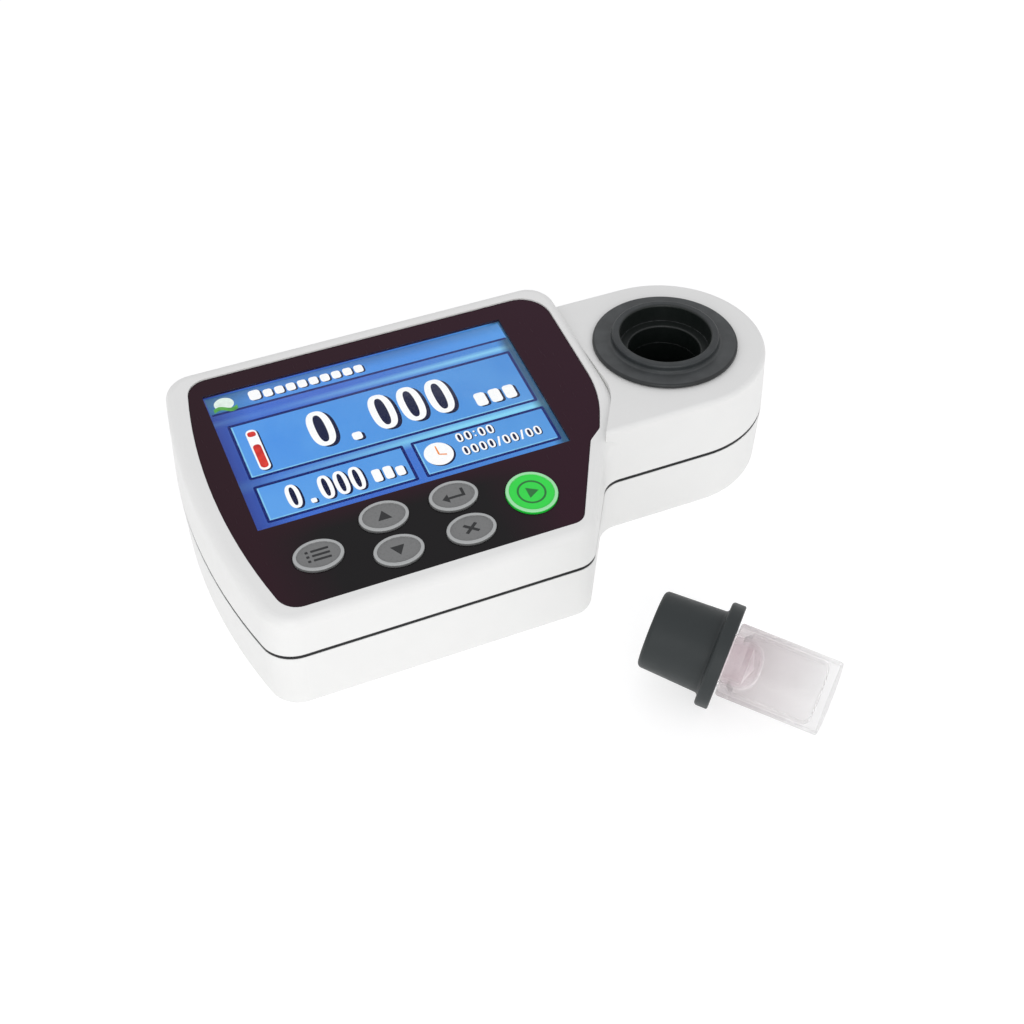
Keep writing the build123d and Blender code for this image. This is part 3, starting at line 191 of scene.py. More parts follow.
    def surface(self, **inputs):
        """Ends the tree with a Principled surface; underscores in names stand for spaces."""
        named = {key.replace("_", " "): value for key, value in inputs.items()}
        for key, value in named.items():
            if isinstance(value, tuple) and len(value) == 3 and "Color" in key:
                named[key] = (*value, 1)
        return self.shader(self.node("ShaderNodeBsdfPrincipled", named).outputs[0])

    def shader(self, socket):
        self.tree.links.new(socket, self.output.inputs["Surface"])
        return self.material


def scaled_colour(colour, factor, lift=0.0):
    return [min(1.0, c * factor + lift) for c in colour]


# ---- Materials ---------------------------------------------------------------------------------------

KEY_RIM_RISE = (0.62, 0.74)     # mm above the face where a key's dish gives way to its rim
RING_BLUR = 0.15                # mm either side of a colour step on the collar


def moulded_plastic(name, colour, roughness, grain_mm, grain_depth_mm, edge_wear_and_highlight_colour, edge_wear_and_highlight_amount=0.35, specular=0.5,
                    soft=0.18, mottled=0.02, speckled=0.06, raised=None, rings=()):
    """Moulded plastic: fine spark grain, faint flow mottling, uneven gloss, and outer edges lightened in patches,
    partly scuffing and partly a painted highlight.

    raised is the colour of anything that stands above a key's dish, where the key has a rim. rings lists
    (radius in mm, colour) steps outwards from the well axis; each colour starts at its radius.
    """
    s = Shader(name)
    mottle = s.noise(9.0, 2.0)
    specks = s.noise(0.6, 4.0, 0.6)
    tone = s.mix(s.remap(mottle, 0.3, 0.7),
                 scaled_colour(colour, 1 - mottled), scaled_colour(colour, 1 + mottled))
    tone = s.mix(s.remap(specks, 0.5, 0.7, 0.0, speckled), tone, scaled_colour(colour, 0.6))
    if raised:
        tone = s.mix(s.remap(s.face_distance(FACE_NORMAL), *KEY_RIM_RISE), tone, raised)
    for radius, ring_colour in rings:
        beyond = s.remap(s.well_radius(), radius - RING_BLUR, radius + RING_BLUR)
        patchy = s.mix(s.remap(s.noise(4.0, 4.0), 0.35, 0.65),
                       scaled_colour(ring_colour, 0.85), scaled_colour(ring_colour, 1.15))
        tone = s.mix(beyond, tone, patchy)
    # Outer edges are lightened in noisy patches towards a paler colour: partly scuffing, partly a painted
    # highlight along every edge.
    edge_wear_and_highlight = s.math("MULTIPLY", s.edges(0.5), s.remap(s.noise(2.2, 4.0), 0.35, 0.65, 0.0, edge_wear_and_highlight_amount), True)
    tone = s.mix(edge_wear_and_highlight, tone, edge_wear_and_highlight_colour)
    gloss = s.math("ADD", s.remap(s.noise(3.5, 3.0), 0.3, 0.7, roughness - 0.05, roughness + 0.05),
                   s.math("MULTIPLY", edge_wear_and_highlight, -0.12))
    grain = s.math("ADD", s.noise(grain_mm, 3.0, 0.6), s.math("MULTIPLY", s.noise(4.0, 1.0), 1.5))
    return s.surface(Base_Color=tone, Roughness=gloss, Specular_IOR_Level=specular,
                     Normal=s.bump(grain, grain_depth_mm, soft))


def gloss_panel():
    """Back-printed gloss sheet: dark maroon, neutral round the keys, with smears, hairlines and a painted
    highlight along its edges.
    """
    s = Shader("panel_gloss")
    u, v = s.face_uv()
    tone = s.mix(s.remap(u, -55.0, 60.0), (0.0225, 0.0050, 0.0108), (0.0265, 0.0050, 0.0140))
    keys_middle_u = -8.0
    beside_keys = s.math("ABSOLUTE", s.math("SUBTRACT", u, keys_middle_u))
    around_keys = s.math("MULTIPLY", s.remap(v, -27.0, -34.0), s.remap(beside_keys, 24.0, 42.0, 1.0, 0.0))
    tone = s.mix(around_keys, tone, (0.0078, 0.0068, 0.0076))
    smear = s.noise(14.0, 4.0, 0.55, (1, 0.5, 1))
    hair = s.remap(s.noise(0.5, 2.0, 0.5, (1, 0.04, 1)), 0.68, 0.75, 0.0, 0.12)
    rough = s.math("ADD", s.remap(smear, 0.3, 0.7, 0.16, 0.3), hair)
    # Painted highlight: the sheet's edges are lightened towards grey.
    tone = s.mix(s.math("MULTIPLY", s.edges(0.3), 0.5), tone, (0.05, 0.045, 0.05))
    return s.surface(Base_Color=tone, Roughness=rough, Specular_IOR_Level=0.17,
                     Normal=s.bump(s.noise(6.0, 2.0), 0.004, 0.2))


def clear_sheet(name, tint, shine):
    """Clear sheet over the display: lets the picture through and adds a soft reflection."""
    s = Shader(name)
    smear = s.remap(s.noise(12.0, 4.0), 0.3, 0.7, 0.04, 0.14)
    mirror = s.node("ShaderNodeBsdfGlossy", {"Roughness": smear}).outputs[0]
    fresnel = s.node("ShaderNodeFresnel", {"IOR": 1.45}).outputs[0]
    return s.shader(s.mix_surfaces(s.math("MULTIPLY", fresnel, shine, True), s.see_through(tint), mirror))


# Places along and out from the vial's own axis, in millimetres from the middle of its glass
VIAL_OUTER_WALL = (9.6, 9.9)        # between the inner and outer wall surfaces
VIAL_FOOT = (-19.5, -20.5)          # just above the outer face of the base
# The second end of this span, towards the cap, is darkened as a painted shadow of the cap.
VIAL_HAZE_AND_CAP_SHADOW = (-17.0, 8.0)            # from the clear end to the hazy end
REFRACTING_SHARE = 0.28


def vial_body():
    """Thin moulded vial: a soft grey haze with a painted shadow of the cap that darkens it towards the cap and
    thins towards the base, painted shade where the glass is seen edge on, and a weak refraction mixed in."""
    s = Shader("vial_glass")
    axis = JOINT_AXES["cap_pull"].normalized()
    local = s.vector("SUBTRACT", s.place, box_centre("vial_glass"))
    local = s.vector("MULTIPLY", local, (1 / MM, 1 / MM, 1 / MM))
    along = s.vector("DOT_PRODUCT", local, axis)
    aside = s.vector("LENGTH", s.vector("CROSS_PRODUCT", local, axis))
    outside = s.math("ADD", s.remap(aside, *VIAL_OUTER_WALL), s.remap(along, *VIAL_FOOT), True)
    # Painted shadow of the cap: the haze darkens and turns pinker towards the cap.
    haze = s.mix(s.remap(along, *VIAL_HAZE_AND_CAP_SHADOW), (0.915, 0.915, 0.915), (0.71, 0.67, 0.68))
    haze = s.mix(s.remap(s.noise(7.0, 3.0), 0.35, 0.7, 0.0, 0.3), haze, (0.89, 0.88, 0.883))
    haze = s.mix(outside, (0.985, 0.98, 0.98), haze)
    # Painted shade: greyer where the glass is seen edge on.
    haze = s.mix(s.remap(s.facing(), 0.8, 1.0, 0.0, 0.8), haze, (0.72, 0.71, 0.715))
    body = s.node("ShaderNodeBsdfPrincipled", {
        "Base Color": (0.97, 0.965, 0.965, 1), "Roughness": s.remap(s.noise(4.0, 3.0), 0.4, 0.7, 0.12, 0.2),
        "Transmission Weight": 1.0, "IOR": 1.12,
        "Normal": s.bump(s.noise(3.0, 2.0, 0.5, (1, 1, 0.2)), 0.02)}).outputs[0]
    made = s.mix_surfaces(REFRACTING_SHARE, s.see_through(haze), body)
    return s.shader(s.clear_to_shadows(made, (0.985, 0.985, 0.985)))


def plug_body():
    """Soft cloudy plug: hazy through the middle with a pale milky edge, and a faint painted glow from the milky
    layer.
    """
    s = Shader("plug_silicone")
    cloud = s.math("ADD", s.remap(s.facing(), 0.45, 0.95, 0.1, 0.75),
                   s.remap(s.noise(3.0, 3.0), 0.4, 0.7, 0.0, 0.12), True)
    # Painted light: the milky layer glows faintly by its own emission.
    milky_self_glow = s.node("ShaderNodeBsdfPrincipled", {
        "Base Color": (0.93, 0.92, 0.925, 1), "Roughness": 0.4, "Specular IOR Level": 0.3,
        "Emission Color": (1, 1, 1, 1), "Emission Strength": 0.25,
        "Normal": s.bump(s.noise(1.2, 2.0), 0.01)}).outputs[0]
    return s.shader(s.mix_surfaces(cloud, s.see_through((0.95, 0.915, 0.925)), milky_self_glow))


def glass(name, tint, roughness):
    """Cast clear resin or coloured glass: clear to light rays, with faint waves and handling haze."""
    s = Shader(name)
    haze = s.remap(s.noise(5.0, 4.0), 0.45, 0.75, roughness, roughness + 0.05)
    body = s.node("ShaderNodeBsdfPrincipled", {
        "Base Color": (*tint, 1), "Roughness": haze, "Transmission Weight": 1.0, "IOR": 1.46,
        "Normal": s.bump(s.noise(6.0, 1.0), 0.03)}).outputs[0]
    return s.shader(s.clear_to_shadows(body, scaled_colour(tint, 0.5, 0.5)))


def brushed_metal(name, colour, roughness, line_mm=0.15):
    """Plated or stamped metal with drawn lines, stains and a painted highlight along its edges."""
    s = Shader(name)
    lines = s.noise(line_mm, 2.0, 0.5, (1, 0.05, 1))
    stain = s.noise(3.0, 4.0)
    tone = s.mix(s.remap(stain, 0.35, 0.7, 0.0, 0.5), colour, scaled_colour(colour, 0.72))
    # Painted highlight: edges lightened to a brighter copy of the colour.
    tone = s.mix(s.math("MULTIPLY", s.edges(0.25), 0.6), tone, scaled_colour(colour, 1.3))
    rough = s.math("ADD", s.remap(stain, 0.3, 0.7, roughness - 0.06, roughness + 0.08),
                   s.math("MULTIPLY", lines, 0.1))
    return s.surface(Base_Color=tone, Metallic=1.0, Roughness=rough, Normal=s.bump(lines, 0.003, 0.1))


def rubber(name, colour):
    """Soft rubber: dull, dusty in patches, with a fine skin texture."""
    s = Shader(name)
    dust = s.remap(s.noise(2.5, 5.0, 0.6), 0.45, 0.75, 0.0, 0.3)
    tone = s.mix(dust, colour, scaled_colour(colour, 2.2, 0.01))
    skin = s.math("ADD", s.noise(0.25, 3.0), s.cells(0.5))
    return s.surface(Base_Color=tone, Roughness=s.remap(dust, 0.0, 0.3, 0.55, 0.8),
                     Specular_IOR_Level=0.3, Normal=s.bump(skin, 0.01, 0.15))


def circuit_board():
    """Solder mask over copper runs, with pale pads."""
    s = Shader("circuit_board")
    u, _ = s.face_uv()
    runs = s.math("MULTIPLY", s.remap(s.math("SINE", s.math("MULTIPLY", u, 3.1)), 0.75, 0.9),
                  s.remap(s.noise(7.0, 0.0, 0.5, (1, 0.2, 1)), 0.48, 0.52))
    tone = s.mix(runs, (0.012, 0.10, 0.045), (0.03, 0.2, 0.08))
    pads = s.remap(s.cells(2.6), 0.12, 0.1)
    tone = s.mix(pads, tone, (0.62, 0.55, 0.4))
    return s.surface(Base_Color=tone, Roughness=s.remap(pads, 0.0, 1.0, 0.35, 0.25),
                     Metallic=s.math("MULTIPLY", pads, 0.8), Normal=s.bump(runs, 0.02, 0.1))


def jacket(name, band_axis):
    """Printed battery jacket with bright bands across it and scuffs."""
    s = Shader(name)
    parts = s.node("ShaderNodeSeparateXYZ", {"Vector": s.place})
    band = s.remap(s.math("SINE", s.math("MULTIPLY", parts.outputs[band_axis], 120.0)), 0.3, 0.35)
    tone = s.mix(band, (0.02, 0.07, 0.22), (0.55, 0.36, 0.12))
    scuff = s.remap(s.noise(1.8, 5.0), 0.55, 0.7, 0.0, 0.4)
    tone = s.mix(scuff, tone, (0.4, 0.4, 0.42))
    return s.surface(Base_Color=tone, Roughness=s.remap(scuff, 0, 0.4, 0.22, 0.5), Metallic=0.3,
                     Normal=s.bump(s.noise(0.8, 2.0), 0.01, 0.15))


def glowing(s, tone):
    """Ends a tree as a lit screen layer with a faint cell grid and a weak surface shine."""
    grid = s.remap(s.noise(0.4, 2.0), 0.3, 0.7, 0.95, 1.04)
    return s.surface(Base_Color=(0.004, 0.004, 0.005), Roughness=0.35, Specular_IOR_Level=0.04,
                     Emission_Color=tone, Emission_Strength=grid)


def stripe(s, v, middle, half_width):
    """1 along a level line of the screen, falling to 0 half_width away; in millimetres."""
    return s.remap(s.math("ABSOLUTE", s.math("SUBTRACT", v, middle)), 0.0, half_width, 1.0, 0.0)


def screen_ground():
    """The lit display: deep blue at the left edge, lighter to the right, cyan between the boxes."""
    s = Shader("screen_ground")
    u, v = s.face_uv()
    tone = s.mix(s.remap(u, -47.5, -36.0), (0.035, 0.070, 0.330), (0.052, 0.150, 0.600))
    tone = s.mix(s.remap(u, -10.0, 47.0, 0.0, 0.75), tone, (0.080, 0.330, 0.750))
    below_main = s.math("MULTIPLY", stripe(s, v, -10.0, 3.0), s.remap(u, -42.0, 20.0, 0.08, 0.9))
    tone = s.mix(below_main, tone, (0.270, 0.740, 0.960))
    above_main = s.math("MULTIPLY", stripe(s, v, 16.0, 1.6), s.remap(u, -30.0, 35.0, 0.1, 0.75))
    tone = s.mix(above_main, tone, (0.300, 0.720, 0.960))
    tone = s.mix(s.remap(u, 43.5, 46.5, 0.0, 0.9), tone, (0.030, 0.085, 0.150))
    return glowing(s, tone)


def screen_box():
    """Light blue box fill with a paler left edge and a soft top-to-bottom fade."""
    s = Shader("screen_box")
    u, v = s.face_uv()
    tone = s.mix(s.remap(u, -43.0, 44.0), (0.078, 0.300, 0.800), (0.062, 0.265, 0.690))
    tone = s.mix(s.remap(v, -25.0, 4.0, 0.3, 0.0), tone, (0.190, 0.480, 0.860))
    tone = s.mix(s.remap(s.noise(16.0, 2.0), 0.35, 0.7, 0.0, 0.25), tone, (0.150, 0.430, 0.840))
    return glowing(s, tone)


def screen_header():
    """Title strip: brightest in the middle of its height, darker and greener towards the ends."""
    s = Shader("screen_header")
    u, v = s.face_uv()
    tone = s.mix(s.remap(v, 28.5, 22.5), (0.045, 0.120, 0.300), (0.070, 0.285, 0.780))
    tone = s.mix(s.remap(u, 20.0, 47.0, 0.0, 0.3), tone, (0.110, 0.400, 0.800))
    tone = s.mix(s.remap(u, -30.0, -47.0, 0.0, 0.75), tone, (0.030, 0.110, 0.190))
    return glowing(s, tone)


def screen_ink(name, colour, second=None):
    """Screen marks in one colour, shading towards a second one across small patches."""
    s = Shader(name)
    second = second or scaled_colour(colour, 0.85)
    return glowing(s, s.mix(s.remap(s.noise(1.5, 3.0), 0.4, 0.7), colour, second))


def key_print(name, colour):
    """Printed key marks: thin, slightly patchy ink."""
    s = Shader(name)
    patch = s.remap(s.noise(0.5, 4.0, 0.6), 0.5, 0.75, 0.0, 0.5)
    tone = s.mix(patch, colour, scaled_colour(colour, 1.6, 0.01))
    return s.surface(Base_Color=tone, Roughness=s.remap(patch, 0, 0.5, 0.4, 0.6), Normal=s.bump(patch, 0.004))


CASE_WHITE = (0.80, 0.80, 0.79)
# Inside the first radius the collar keeps its own colour, darkened as painted shade in the bore; the last step is
# painted shade on the flange's rounded edge and everything beyond it.
COLLAR_RINGS_AND_SHADE = (
    (14.6, (0.024, 0.028, 0.030)),      # raised ring round the mouth
    (17.2, (0.046, 0.050, 0.052)),      # flange
    (22.1, (0.014, 0.016, 0.017)),      # shaded edge of the flange
)
MATERIALS = {
    "case_white": moulded_plastic("abs_white", CASE_WHITE, 0.4, 0.35, 0.004, (0.88, 0.88, 0.87), edge_wear_and_highlight_amount=0.3,
                                  soft=0.25, mottled=0.006, speckled=0.02),
    "seal_black": rubber("seal_rubber", (0.012, 0.012, 0.013)),
    "pad_rubber": rubber("pad_rubber", (0.04, 0.04, 0.042)),
    "panel_black": gloss_panel(),
    "window_clear": clear_sheet("window_clear", (1.0, 1.0, 1.0), 0.06),
    "screen_blue": screen_ground(),
    "diffuser_white": moulded_plastic("light_guide", (0.85, 0.88, 0.92), 0.2, 1.0, 0.002, (0.9, 0.9, 0.9)),
    "stamped_steel": brushed_metal("stamped_steel", (0.62, 0.62, 0.62), 0.3),
    "flex_amber": moulded_plastic("flex_film", (0.52, 0.2, 0.03), 0.25, 0.8, 0.003, (0.6, 0.35, 0.1)),
    "board_green": circuit_board(),
    "chip_black": moulded_plastic("chip_epoxy", (0.015, 0.015, 0.017), 0.5, 0.2, 0.006, (0.06, 0.06, 0.06)),
    "screw_steel": brushed_metal("screw_steel", (0.5, 0.5, 0.52), 0.32, 0.1),
    "cell_jacket": jacket("cell_jacket", "Y"),
    "contact_nickel": brushed_metal("contact_nickel", (0.66, 0.63, 0.56), 0.25),
    "key_grey": moulded_plastic("key_grey", (0.178, 0.180, 0.180), 0.42, 0.5, 0.02, (0.5, 0.5, 0.5),
                                edge_wear_and_highlight_amount=0.5, speckled=0.4, raised=(0.40, 0.41, 0.41)),
    "key_green": moulded_plastic("key_green", (0.020, 0.720, 0.060), 0.4, 0.5, 0.02, (0.5, 0.9, 0.55),
                                 edge_wear_and_highlight_amount=0.5, speckled=0.15, raised=(0.36, 0.80, 0.42)),
    # The collar's own colour here is the painted shade of the bore.
    "collar_charcoal": moulded_plastic("collar_charcoal", (0.006, 0.009, 0.008), 0.46, 0.18, 0.01,
                                       (0.11, 0.115, 0.12), edge_wear_and_highlight_amount=0.8, rings=COLLAR_RINGS_AND_SHADE),
    "cap_charcoal": moulded_plastic("cap_charcoal", (0.024, 0.029, 0.030), 0.48, 0.18, 0.012,
                                    (0.1, 0.105, 0.11), edge_wear_and_highlight_amount=0.8, specular=0.35),
    "lamp_clear": glass("lamp_epoxy", (0.95, 0.97, 1.0), 0.02),
    "filter_glass": glass("filter_glass", (0.3, 0.5, 0.8), 0.02),
    "cable_black": rubber("cable_black", (0.015, 0.015, 0.015)),
    "cable_red": rubber("cable_red", (0.3, 0.015, 0.012)),
    "vial_glass": vial_body(),
    "plug_clear": plug_body(),
}

slot_of = {entry["node"]: entry["material_slot"] for entry in frame["record"]["subparts"]}
for name, piece in frame["nodes"].items():
    piece.data.materials.clear()
    piece.data.materials.append(MATERIALS[slot_of[name]])


# ---- Thin relief pieces on the face ------------------------------------------------------------------
# Outlines are lists of (across, up) places on the face, in millimetres.

def ellipse(x, y, half_width, half_height, count=40):
    return [(x + half_width * math.cos(2 * math.pi * i / count),
             y + half_height * math.sin(2 * math.pi * i / count)) for i in range(count)]


def superellipse(x, y, half_width, half_height, power=2.5, count=48):
    """Closed outline between an ellipse and a rectangle."""
    outline = []
    for i in range(count):
        across, up = math.cos(2 * math.pi * i / count), math.sin(2 * math.pi * i / count)
        outline.append((x + half_width * math.copysign(abs(across) ** (2 / power), across),
                        y + half_height * math.copysign(abs(up) ** (2 / power), up)))
    return outline


def rounded_box(x, y, width, height, radius, steps=8):
    """Closed outline of a rectangle with round corners, centred on x, y."""
    outline = []
    for corner, (sx, sy) in enumerate(((1, 1), (-1, 1), (-1, -1), (1, -1))):
        cx = x + sx * (width / 2 - radius)
        cy = y + sy * (height / 2 - radius)
        for step in range(steps + 1):
            angle = math.pi / 2 * (corner + step / steps)
            outline.append((cx + radius * math.cos(angle), cy + radius * math.sin(angle)))
    return outline


def shifted(outline, dx, dy):
    return [(x + dx, y + dy) for x, y in outline]


class Relief:
    """Collects thin solid plates on the face plane and makes one piece of them."""

    def __init__(self, name, material, level, thick=0.006, body="instrument", slot="screen_blue"):
        self.name = name
        self.material = material
        self.level = level
        self.thick = thick
        self.body = body
        self.slot = slot
        self.mesh = bmesh.new()

    def ring_of(self, outline, height):
        return [self.mesh.verts.new(FACE_MATRIX @ Vector((x * MM, y * MM, height * MM))) for x, y in outline]

    def walls(self, lower, upper, inward=False):
        count = len(lower)
        for i in range(count):
            j = (i + 1) % count
            quad = (lower[i], lower[j], upper[j], upper[i])
            self.mesh.faces.new(quad[::-1] if inward else quad)

    def plate(self, outline):
        lower = self.ring_of(outline, self.level)
        upper = self.ring_of(outline, self.level + self.thick)
        self.mesh.faces.new(upper)
        self.mesh.faces.new(lower[::-1])
        self.walls(lower, upper)

    def hoop(self, outer, inner):
        """A plate with one hole; both outlines have the same number of points."""
        outer_low, inner_low, outer_high, inner_high = [
            self.ring_of(outline, height) for height in (self.level, self.level + self.thick)
            for outline in (outer, inner)]
        self.walls(outer_low, outer_high)
        self.walls(inner_low, inner_high, inward=True)
        self.walls(outer_high, inner_high)
        self.walls(inner_low, outer_low)

    def frame(self, x0, y0, x1, y1, line):
        """A rectangular outline of the given line width."""
        x, y, width, height = (x0 + x1) / 2, (y0 + y1) / 2, x1 - x0, y1 - y0
        self.hoop(rounded_box(x, y, width, height, 0.5, 3),
                  rounded_box(x, y, width - 2 * line, height - 2 * line, 0.1, 3))

    def finish(self):
        bmesh.ops.recalc_face_normals(self.mesh, faces=self.mesh.faces)
        data = bpy.data.meshes.new(self.name)
        self.mesh.to_mesh(data)
        self.mesh.free()
        data.materials.append(self.material)
        piece = bpy.data.objects.new(self.name, data)
        bpy.context.scene.collection.objects.link(piece)
        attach(piece, self.body)


# ---- The screen picture ------------------------------------------------------------------------------

# Bottom of each layer, in millimetres above the face plane; all lie between the display and its window
LEVELS = {"ground": -1.043, "boxes": -1.034, "lines": -1.026, "shadow": -1.018, "marks": -1.009,
          "colours": -1.0025}
COLOUR_THICK = 0.002
ACTIVE_WIDTH, ACTIVE_HEIGHT = 95.04, 53.86
HEADER_LINE = 20.0      # height of the line under the title strip
NAVY_LINE = 0.9         # line width round the boxes
MAIN_BOX = (-44.4, -8.2, 46.0, 14.3)
LEFT_BOX = (-44.4, -25.1, 1.2, -10.8)
RIGHT_BOX = (3.6, -25.1, 46.4, -10.8)

ground = Relief("screen_ground_layer", MATERIALS["screen_blue"], LEVELS["ground"])
ground.plate(rounded_box(0, 0, ACTIVE_WIDTH, ACTIVE_HEIGHT, 0.3, 3))
ground.finish()

header = Relief("screen_header_layer", screen_header(), LEVELS["boxes"])
header.plate(rounded_box(0, (HEADER_LINE + ACTIVE_HEIGHT / 2) / 2, ACTIVE_WIDTH,
                         ACTIVE_HEIGHT / 2 - HEADER_LINE, 0.2, 3))
header.finish()

fills = Relief("screen_box_fills", screen_box(), LEVELS["boxes"])
navy = Relief("screen_box_lines", screen_ink("screen_navy", (0.006, 0.016, 0.150)), LEVELS["lines"])
pale = Relief("screen_box_highlights", screen_ink("screen_pale", (0.24, 0.60, 0.92)), LEVELS["lines"])
for x0, y0, x1, y1 in (MAIN_BOX, LEFT_BOX, RIGHT_BOX):
    fills.plate(rounded_box((x0 + x1) / 2, (y0 + y1) / 2, x1 - x0, y1 - y0, 0.4, 3))
    navy.frame(x0, y0, x1, y1, NAVY_LINE)
    # pale lines just inside the left and bottom edges
    pale.plate(rounded_box(x0 + 1.05, (y0 + y1) / 2, 0.45, y1 - y0 - 1.7, 0.1, 2))
    pale.plate(rounded_box((x0 + x1) / 2, y0 + 1.05, x1 - x0 - 2.6, 0.4, 0.1, 2))
navy.plate(rounded_box(0, HEADER_LINE - 0.2, ACTIVE_WIDTH - 0.6, 0.8, 0.2, 3))
for relief in (fills, navy, pale):
    relief.finish()

white_marks = Relief("screen_white_marks", screen_ink("screen_white", (1.0, 1.0, 1.0), (0.95, 0.98, 1.0)),
                     LEVELS["marks"])
shadows = Relief("screen_mark_shadows", screen_ink("screen_shadow", (0.006, 0.010, 0.050)), LEVELS["shadow"])


def cast(outline, drop):
    """The shadow of a mark: to the right by drop, and down by a little less."""
    shadows.plate(shifted(outline, drop, -0.7 * drop))


def zero(x, y, width, height, side, cap, drop):
    """A numeral zero with heavy sides and thin top and bottom; its dropped shadow fills the middle."""
    outer = superellipse(x, y, width / 2, height / 2)
    white_marks.hoop(outer, superellipse(x, y, width / 2 - side, height / 2 - cap))
    cast(outer, drop)


def dot(x, y, size, drop):
    outline = rounded_box(x, y, size, size, size * 0.3)
    white_marks.plate(outline)
    cast(outline, drop)


def block_row(x, base, blocks, gap, drop):
    """Plain blocks on a base line, each (width, height), where the display would have a word."""
    for width, height in blocks:
        outline = rounded_box(x + width / 2, base + height / 2, width, height, min(width, height) * 0.3, 4)
        white_marks.plate(outline)
        cast(outline, drop)
        x += width + gap


# The main reading, then the smaller one below it
MAIN_ZERO = {"width": 7.4, "height": 14.2, "side": 2.15, "cap": 1.6, "drop": 1.1}
MAIN_ZERO_Y = 3.9
SMALL_ZERO = {"width": 4.1, "height": 9.0, "side": 1.25, "cap": 1.0, "drop": 0.65}
SMALL_ZERO_Y = -18.1
for x in (-18.9, 0.5, 9.6, 18.7):
    zero(x, MAIN_ZERO_Y, **MAIN_ZERO)
dot(-9.8, -2.6, size=3.0, drop=0.8)
block_row(28.2, -4.4, ((3.6, 5.4), (3.6, 5.4), (3.6, 5.4)), gap=1.1, drop=0.7)
for x in (-34.6, -24.9, -20.2, -15.5):
    zero(x, SMALL_ZERO_Y, **SMALL_ZERO)
dot(-29.6, -21.6, size=1.7, drop=0.5)
block_row(-11.0, -21.6, ((2.6, 4.8), (2.6, 4.8), (2.6, 3.6)), gap=0.9, drop=0.5)

# The title strip's row of blocks
block_row(-34.8, 21.7, ((3.6, 4.0), *[(2.8, 3.1)] * 9), gap=0.8, drop=0.5)

# The two small lines beside the clock: 00:00 over 0000/00/00
TINY_ZERO = {"width": 2.1, "height": 3.5, "side": 0.6, "cap": 0.5, "drop": 0.3}
TINY_PITCH = 2.7
TIME_Y, DATE_Y = -13.9, -19.3
SMALL_LINE_START = 18.0
COLON_X = 22.9
SLASH = [(-1.1, -1.8), (-0.5, -1.8), (0.5, 1.8), (-0.1, 1.8)]
SLASH_ROOM = 2.0
for x in (SMALL_LINE_START, SMALL_LINE_START + TINY_PITCH, COLON_X + 2.2, COLON_X + 2.2 + TINY_PITCH):
    zero(x, TIME_Y, **TINY_ZERO)
dot(COLON_X, TIME_Y + 0.8, size=0.6, drop=0.2)
dot(COLON_X, TIME_Y - 0.9, size=0.6, drop=0.2)
x = SMALL_LINE_START
for group, digits in enumerate((4, 2, 2)):
    if group:
        white_marks.plate(shifted(SLASH, x, DATE_Y))
        x += SLASH_ROOM
    for _ in range(digits):
        zero(x, DATE_Y, **TINY_ZERO)
        x += TINY_PITCH

# Clock: white disc with orange hands. Thermometer: pale capsule with a red column and a red top
CLOCK = (10.0, -17.7)
CLOCK_RADIUS = 4.4
MINUTE_HAND = [(-0.3, 0.0), (0.3, 0.0), (0.2, 3.1), (-0.2, 3.1)]
HOUR_HAND = [(-0.3, 0.1), (-0.1, -0.4), (2.2, -1.2), (2.3, -0.7)]
THERMOMETER = (-38.6, 2.4)
THERMOMETER_SIZE = (3.4, 16.4)
ICON_DROP = 0.4
SHADOW_MARGIN = 0.1
white_marks.plate(ellipse(*CLOCK, CLOCK_RADIUS, CLOCK_RADIUS, 48))
shadows.plate(ellipse(CLOCK[0] + ICON_DROP, CLOCK[1] - ICON_DROP,
                      CLOCK_RADIUS + SHADOW_MARGIN, CLOCK_RADIUS + SHADOW_MARGIN, 48))
white_marks.plate(rounded_box(*THERMOMETER, *THERMOMETER_SIZE, 1.6))
shadows.plate(rounded_box(THERMOMETER[0] + ICON_DROP, THERMOMETER[1] - ICON_DROP,
                          THERMOMETER_SIZE[0] + SHADOW_MARGIN, THERMOMETER_SIZE[1] + SHADOW_MARGIN, 1.6))
white_marks.finish()
shadows.finish()

red = Relief("screen_red_marks", screen_ink("screen_red", (0.72, 0.045, 0.03), (0.5, 0.02, 0.02)),
             LEVELS["colours"], COLOUR_THICK)
red.plate(rounded_box(THERMOMETER[0], THERMOMETER[1] - 2.6, 2.4, 9.4, 1.1))
red.plate(rounded_box(THERMOMETER[0], THERMOMETER[1] + 6.4, 2.5, 2.0, 0.8))
red.finish()

orange = Relief("screen_orange_marks", screen_ink("screen_orange", (0.90, 0.30, 0.08)),
                LEVELS["colours"], COLOUR_THICK)
orange.plate(shifted(MINUTE_HAND, *CLOCK))
orange.plate(shifted(HOUR_HAND, *CLOCK))
orange.finish()

# Status mark at the left of the title: a pale disc with a green wave over its lower edge
STATUS = (-42.6, 22.9)
WAVE_HALF_WIDTH, WAVE_DEPTH, WAVE_SWING, WAVE_STEPS = 3.6, 1.5, 0.7, 16
status = Relief("screen_status_disc", screen_ink("screen_mint", (0.80, 0.93, 0.85)), LEVELS["marks"])
status.plate(ellipse(STATUS[0], STATUS[1] + 0.4, 3.0, 2.5))
status.finish()
wave_top = []
for i in range(WAVE_STEPS + 1):
    turn = i / WAVE_STEPS
    wave_top.append((STATUS[0] + WAVE_HALF_WIDTH * (2 * turn - 1),
                     STATUS[1] - 1.0 + WAVE_SWING * math.sin(2 * math.pi * turn)))
wave_bottom = [(x, y - WAVE_DEPTH) for x, y in reversed(wave_top)]
wave = Relief("screen_status_wave", screen_ink("screen_green", (0.10, 0.42, 0.06), (0.05, 0.25, 0.05)),
              LEVELS["colours"], COLOUR_THICK)
